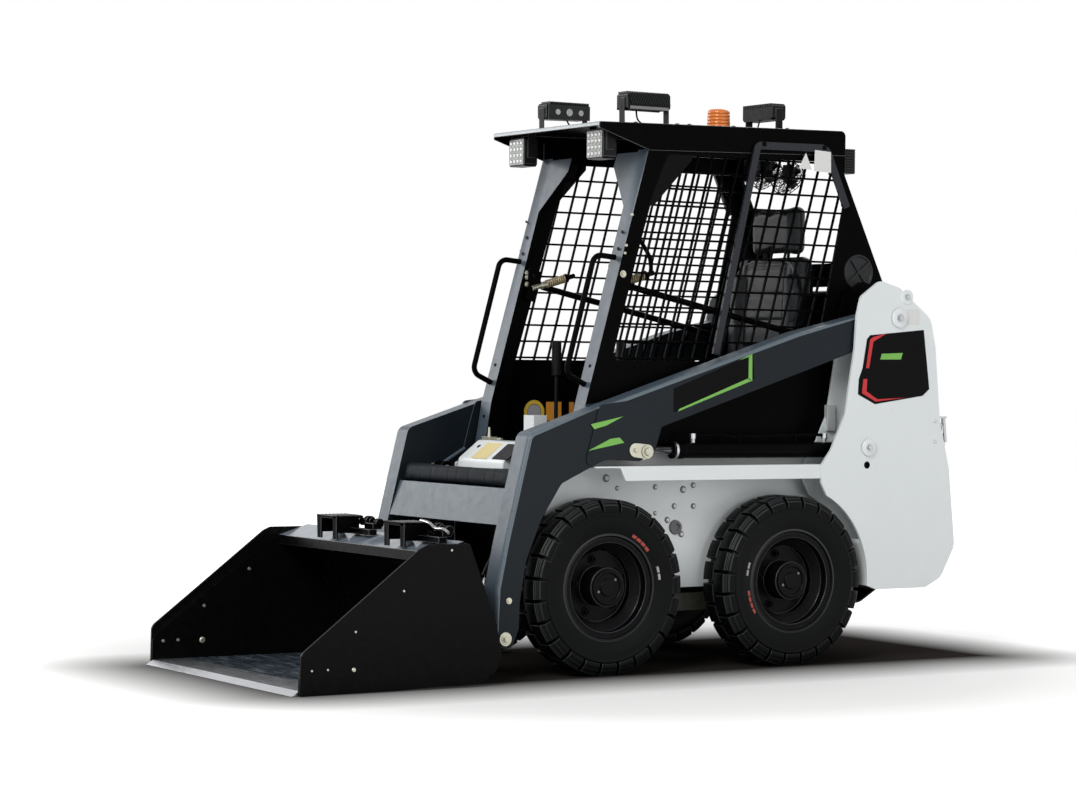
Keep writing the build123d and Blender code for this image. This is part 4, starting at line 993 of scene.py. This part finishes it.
bm = bmesh.new()
frontX, faceY = lampSet["front"]
for side in (1, -1):
    addCells(bm, (side * frontX, faceY, roofAt(faceY) - 0.070), (0, -1, 0), (1, 0, 0), 4, 4, 0.092, 0.088)
    x, y = lampSet["side"]
    top = roofAt(y) + 0.048
    addBox(bm, (side * (x + 0.0605), y, top + 0.007), (0.003, 0.156, 0.010), look=1)
    addFins(bm, (side * (x + 0.0625), y - 0.077, top + 0.036), (0, 0.007, 0), 23, (0.005, 0.0028, 0.038),
            tipped(side * 18))
    addFins(bm, (side * (x + 0.020), y - 0.080, top + 0.0560), (0, 0.010, 0), 17, (0.056, 0.0035, 0.012))
    addBox(bm, (side * (x - 0.0075), y, top + 0.026), (0.003, 0.172, 0.050))
    for k, size in ((-1, 0.010), (0, 0.013), (1, 0.010)):
        addStud(bm, side, x - 0.008, x - 0.0098, y + k * 0.048, top + 0.026, size, sides=24, look=2)
    for across, back, size in ((0.055, 0.0505, (0.090, 0.006, 0.0042)), (0.0065, 0.030, (0.006, 0.040, 0.0042))):
        addFins(bm, (side * (cabX - across), roofHigh.y + back, roofHigh.z - 0.139), (0, 0, 0.0095), 9, size)
x, y = lampSet["rear"]
top = roofAt(y) + 0.048
addCells(bm, (x, y + 0.060, top + 0.029), (0, 1, 0), (1, 0, 0), 2, 7, 0.160, 0.046)
addFins(bm, (x - 0.080, y + 0.026, top + 0.0545), (0.010, 0, 0), 17, (0.0035, 0.060, 0.010))
finishPiece("lampFaces", bm, [blackFins, lampBezel, lampCell], "chassis")

bm = bmesh.new()
beaconY = axleY + 0.745
base = Vector((0, beaconY, roofAt(beaconY + 0.043) + 0.0003))
ribs = [(0.0, 0.0)]
for k in range(5):
    z = 0.017 + k * 0.0095
    ribs += [(z + rise, radius - k * 0.0006) for rise, radius in (
        (0.0, 0.0405), (0.0022, 0.0422), (0.0060, 0.0422), (0.0085, 0.0405))]
ribs += [(0.0655, 0.0375), (0.0690, 0.0330), (0.0700, 0.0)]
addSpun(bm, [(0.0, 0.0), (0.0, 0.043), (0.014, 0.043), (0.016, 0.0405)], base, (0, 0, 1), 64, 1, closed=False)
addSpun(bm, [(0.016, 0.0405)] + ribs[1:], base, (0, 0, 1), 64, closed=False)
for v in bm.verts:
    v.co.z = base.z + (v.co.z - base.z) * 1.25
finishPiece("beacon", bm, [beaconAmber, blackPlastic], "chassis", ease=50)

# loose leads of the lamps and small roof bolts
leadSet = {"side": ((0.004, -0.010, 0.050), (0.012, -0.004, 0.028), (0.020, 0.016, 0.012), (0.040, 0.060, 0.0045),
                    (0.060, 0.120, 0.0060)), "bolts": (-0.055, 0.115, 0.165, 0.35, 0.58),
           "rear": ((0.020, -0.004, 0.052), (0.035, -0.020, 0.024), (0.060, -0.050, 0.006), (0.110, -0.090, 0.005))}
bm = bmesh.new()
for side in (1, -1):
    x, y = lampSet["side"]
    top = roofAt(y)
    tubeMesh(bm, [(side * (x - dx), y + dy, top + dz) for dx, dy, dz in leadSet["side"]], 0.0030, sides=10)
    for dy in leadSet["bolts"]:
        addBolt(bm, (side * (x + 0.060), y + dy, roofAt(y + dy)), (0, 0, 1), 0.016)
x, y = lampSet["rear"]
tubeMesh(bm, [(x + dx, y + dy, roofAt(y) + dz) for dx, dy, dz in leadSet["rear"]], 0.0030, sides=10)
finishPiece("roofLeads", bm, [blackPlastic], "chassis")
print("lamps made")


# two caged fans hang from the roof behind the seat
fanSet = {"y": axleY + 0.950, "places": ((0.008, 1.716), (0.142, 1.690)), "radius": 0.064, "tilt": -42,
          "rings": (0.018, 0.040, 0.058), "depth": 0.022}
bm = bmesh.new()
for x, height in fanSet["places"]:
    middle = Vector((x, fanSet["y"], height))
    before = len(bm.verts)
    deep = fanSet["depth"]
    for depth, sizes in ((-deep, fanSet["rings"]), (deep, fanSet["rings"]), (0.0, (fanSet["radius"],))):
        for radius in sizes:
            ring = [(depth + 0.0016 * cos(a), radius + 0.0016 * sin(a)) for a in (tau * k / 6 for k in range(6))]
            addSpun(bm, ring, middle, (0, 1, 0), 32)
    for k in range(20):
        way = Matrix.Rotation(tau * k / 20, 3, "Y") @ Vector((1, 0, 0))
        for depth in (-deep, deep):
            face = middle + Vector((0, depth, 0))
            far = face + way * fanSet["rings"][-1]
            addRod(bm, face + way * 0.012, far, 0.0013, sides=6)
            addRod(bm, far, middle + way * fanSet["radius"], 0.0013, sides=6)
    addRod(bm, middle - Vector((0, 0.020, 0)), middle + Vector((0, 0.034, 0)), 0.018, 0.015, 24)
    for k in range(4):
        turn = Matrix.Rotation(tau * k / 4 + 0.3, 4, "Y") @ tipped(28)
        hub = Matrix.Rotation(tau * k / 4 + 0.3, 3, "Y") @ Vector((0.033, 0, 0))
        addBox(bm, middle + hub, (0.040, 0.002, 0.030), turn)
    tilt = Matrix.Rotation(radians(fanSet["tilt"]), 3, "X")
    for v in list(bm.verts)[before:]:
        v.co = middle + tilt @ (v.co - middle)
    roofUnder = roofAt(fanSet["y"]) - 0.0045
    addRod(bm, (x, fanSet["y"], height + 0.044), (x, fanSet["y"], roofUnder), 0.006, sides=12)
    addRod(bm, (x, fanSet["y"], height + 0.010), (x, fanSet["y"], height + 0.050), 0.024, 0.020, 24)
addBox(bm, (0.075, fanSet["y"], roofUnder - 0.004), (0.180, 0.030, 0.008))
fan = finishPiece("cabFans", bm, [blackFins], "chassis", ease=40)
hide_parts("cab_fan")
print("fans made")


coverSet = {"label": (-0.098, 0.002), "hole": -0.130, "panel": (0.040, 0.140)}
low, high = Vector((0, axleY - .206, .700)), Vector((0, axleY - .126, .762))
slope = (high - low).normalized()
outward = Vector((0, -slope.z, slope.y))
turn = Matrix((Vector((1, 0, 0)), slope, outward)).transposed().to_4x4()
middle = (low + high) / 2
bm = bmesh.new()
x0, x1 = coverSet["label"]
addBox(bm, Vector(((x0 + x1) / 2, 0, 0)) + middle - slope * 0.006 + outward * 0.0008, (x1 - x0, 0.084, 0.001), turn, 0)
addRod(bm, Vector((coverSet["hole"], 0, 0)) + middle + slope * 0.016 - outward * 0.001,
       Vector((coverSet["hole"], 0, 0)) + middle + slope * 0.016 + outward * 0.0012, 0.008, look=1)
x0, x1 = coverSet["panel"]
addBox(bm, Vector(((x0 + x1) / 2, 0, 0)) + middle - slope * 0.006 + outward * 0.001, (x1 - x0, 0.080, 0.004), turn, 1)
addBox(bm, (0.092, axleY - .065, .806), (0.064, 0.052, 0.092), look=2)
addBox(bm, (-0.150, axleY - .100, .768), (0.060, 0.026, 0.010), look=3)
addRod(bm, (-0.150, axleY - .100, .768), (-0.150, axleY - .100, .806), 0.007, 0.004, 16, 3)
addBox(bm, (-0.110, axleY - .090, .766), (0.050, 0.010, 0.008), look=3)
finishPiece("coverTrim", bm, [yellowLabel, panelBlack, whitePaint, zincSteel], "chassis", 0.001)

# the boom locks are painted all over in the lighter slate copy, as painted light
bm = bmesh.new()
tubeMesh(bm, [(-armInX + 0.010, axleY + y, z) for y, z in ((-.176, .672), (-.140, .694), (-.080, .728))], 0.0065)
addBox(bm, (-armInX + 0.006, axleY - .176, .668), (0.012, 0.030, 0.016))
mirrored(bm)
finishPiece("boomLocks", bm, [slateFrontLit], "boom", 0.0008)
print("cover trim made")


def makePad(name, bm, look, body, swell, replacesNode=None, voxel=0.006, press=None):
    # a cushion: remeshed, blown up a little as cloth, then pressed along its seams
    mesh = bpy.data.meshes.new(name)
    bm.to_mesh(mesh)
    bm.free()
    piece = bpy.data.objects.new(name, mesh)
    scene.collection.objects.link(piece)
    remesh = piece.modifiers.new("voxels", "REMESH")
    remesh.mode = "VOXEL"
    remesh.voxel_size = voxel
    piece.data = bpy.data.meshes.new_from_object(piece.evaluated_get(bpy.context.evaluated_depsgraph_get()))
    piece.modifiers.clear()
    before = [v.co.copy() for v in piece.data.vertices]
    cloth = piece.modifiers.new("swell", "CLOTH")
    cloth.settings.use_pressure = True
    cloth.settings.uniform_pressure_force = 4.0
    cloth.settings.effector_weights.gravity = 0.0
    for step in range(1, 21):
        scene.frame_set(step)
    blown = bpy.data.meshes.new_from_object(piece.evaluated_get(bpy.context.evaluated_depsgraph_get()))
    piece.modifiers.clear()
    for v, start in zip(blown.vertices, before):
        moved = v.co - start
        v.co = start + (moved.normalized() * swell if moved.length > swell else moved)
    piece.data = blown
    scene.frame_set(1)
    bm = bmesh.new()
    bm.from_mesh(piece.data)
    bmesh.ops.smooth_vert(bm, verts=bm.verts, factor=0.5, use_axis_x=True, use_axis_y=True, use_axis_z=True)
    if press:
        bm.normal_update()
        for v, depth in [(v, press(v.co, v.normal)) for v in bm.verts]:
            v.co -= v.normal * depth
    bm.to_mesh(piece.data)
    piece.data.materials.clear()
    piece.data.materials.append(look)
    piece.data.shade_smooth()
    soft = piece.modifiers.new("soften", "SUBSURF")
    soft.levels = soft.render_levels = 1
    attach(piece, body)
    if replacesNode:
        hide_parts(replacesNode)
    tree = BVHTree.FromBMesh(bm)
    bm.free()
    return tree


def padBlock(middle, size, easing):
    # a block with well rounded edges, ready to be blown up
    bm = bmesh.new()
    addBox(bm, middle, size)
    bmesh.ops.bevel(bm, geom=bm.edges[:], offset=easing, offset_type="OFFSET", segments=4, profile=0.5,
                    affect="EDGES", clamp_overlap=True, material=-1)
    return bm


seatY = axleY + 0.640
seatSet = {"half": 0.212, "cushion": (0.810, 0.893), "back": (0.905, 1.424), "headHalf": 0.134}


def groove(value, place, width, depth):
    away = abs(value - place) / width
    return depth * (1 - away) ** 2 if away < 1 else 0.0


def cushionPress(place, normal):
    depth = groove(place.x, 0.125, 0.012, 0.007) + groove(place.x, -0.125, 0.012, 0.007)
    if abs(place.x) < 0.125:
        depth += sum(groove(place.y, seatY + 0.06 + 0.085 * k, 0.012, 0.006) for k in range(4))
    return depth if normal.z > 0.3 else 0.0


def backPress(place, normal):
    depth = groove(place.x, 0.120, 0.012, 0.008) + groove(place.x, -0.120, 0.012, 0.008)
    if abs(place.x) < 0.120:
        depth += sum(groove(place.z, 1.00 + 0.095 * k, 0.012, 0.006) for k in range(5))
    return depth if normal.y < -0.3 else 0.0


z0, z1 = seatSet["cushion"]
bm = padBlock((0, seatY + 0.190, (z0 + z1) / 2), (seatSet["half"] * 2, 0.370, z1 - z0), 0.026)
for side in (1, -1):
    addBox(bm, (side * 0.176, seatY + 0.175, z1 - 0.012), (0.052, 0.320, 0.030))
makePad("seatCushion", bm, seatVinyl, "chassis", 0.008, "seat", press=cushionPress)

z0, z1 = seatSet["back"]
bm = padBlock((0, 0, 0), (seatSet["half"] * 2 - 0.024, 0.060, z1 - z0), 0.026)
for side in (1, -1):
    addBox(bm, (side * 0.164, -0.036, -0.020), (0.056, 0.036, (z1 - z0) * 0.78))
lean = tipped(-3)
bmesh.ops.transform(bm, matrix=Matrix.Translation((0, seatY + 0.348, (z0 + z1) / 2)) @ lean, verts=bm.verts)
backTree = makePad("seatBack", bm, seatVinyl, "chassis", 0.008, "seat", press=backPress)

bm = padBlock((0, seatY + 0.376, 1.512), (seatSet["headHalf"] * 2 + 0.016, 0.056, 0.176), 0.034)
makePad("headRest", bm, seatVinyl, "chassis", 0.008, "seat")

# piping along the back's front edge, stays of the head rest, and the plates under the cushion and behind the back
bm = bmesh.new()
half = seatSet["half"] - 0.030
line = []
rise = [(half, z0 + 0.06), (half, z1 - 0.10), (half - 0.02, z1 - 0.045), (half - 0.07, z1 - 0.022)]
for x, z in [(-x, z) for x, z in rise] + [(0, z1 - 0.018)] + rise[::-1]:
    met = backTree.ray_cast(Vector((x, seatY - 0.2, z)), Vector((0, 1, 0)))[0]
    line.append(met - Vector((0, 0.001, 0)) if met else Vector((x, seatY + 0.31, z)))
tubeMesh(bm, line, 0.0036, sides=8)
for x in (-0.07, 0.07):
    addRod(bm, (x, seatY + 0.366, 1.405), (x, seatY + 0.374, 1.470), 0.006, sides=16, look=1)
addBox(bm, (0, seatY + 0.195, 0.8068), (0.40, 0.36, 0.006), look=1)
addBox(bm, (0, seatY + 0.384, 1.16), (0.36, 0.012, 0.42), lean, 1)
finishPiece("seatTrim", bm, [pipingCord, blackPlastic], "chassis", 0.001)
print("seat made")


boomLow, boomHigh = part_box("boom_pad")


def boomPress(place, normal):
    k = place.x * 38.0
    return max(0.0, sin(k * 2.0 + 1.3 * sin(k * 0.7))) ** 10 * 0.0010


boomSize = boomHigh - boomLow
bm = padBlock((boomLow + boomHigh) / 2, (boomHigh.x * 2 - 0.004, boomSize.y - 0.006, boomSize.z - 0.002), 0.014)
for v in bm.verts:
    if v.co.y < (boomLow.y + boomHigh.y) / 2:
        v.co.y += 0.014 * (v.co.z - boomLow.z) / boomSize.z
bmesh.ops.subdivide_edges(bm, edges=[e for e in bm.edges if e.calc_length() > 0.3], cuts=12, use_grid_fill=True)
makePad("boomPad", bm, padVinyl, "boom", 0.004, "boom_pad", voxel=0.005, press=boomPress)
print("boom pad made")
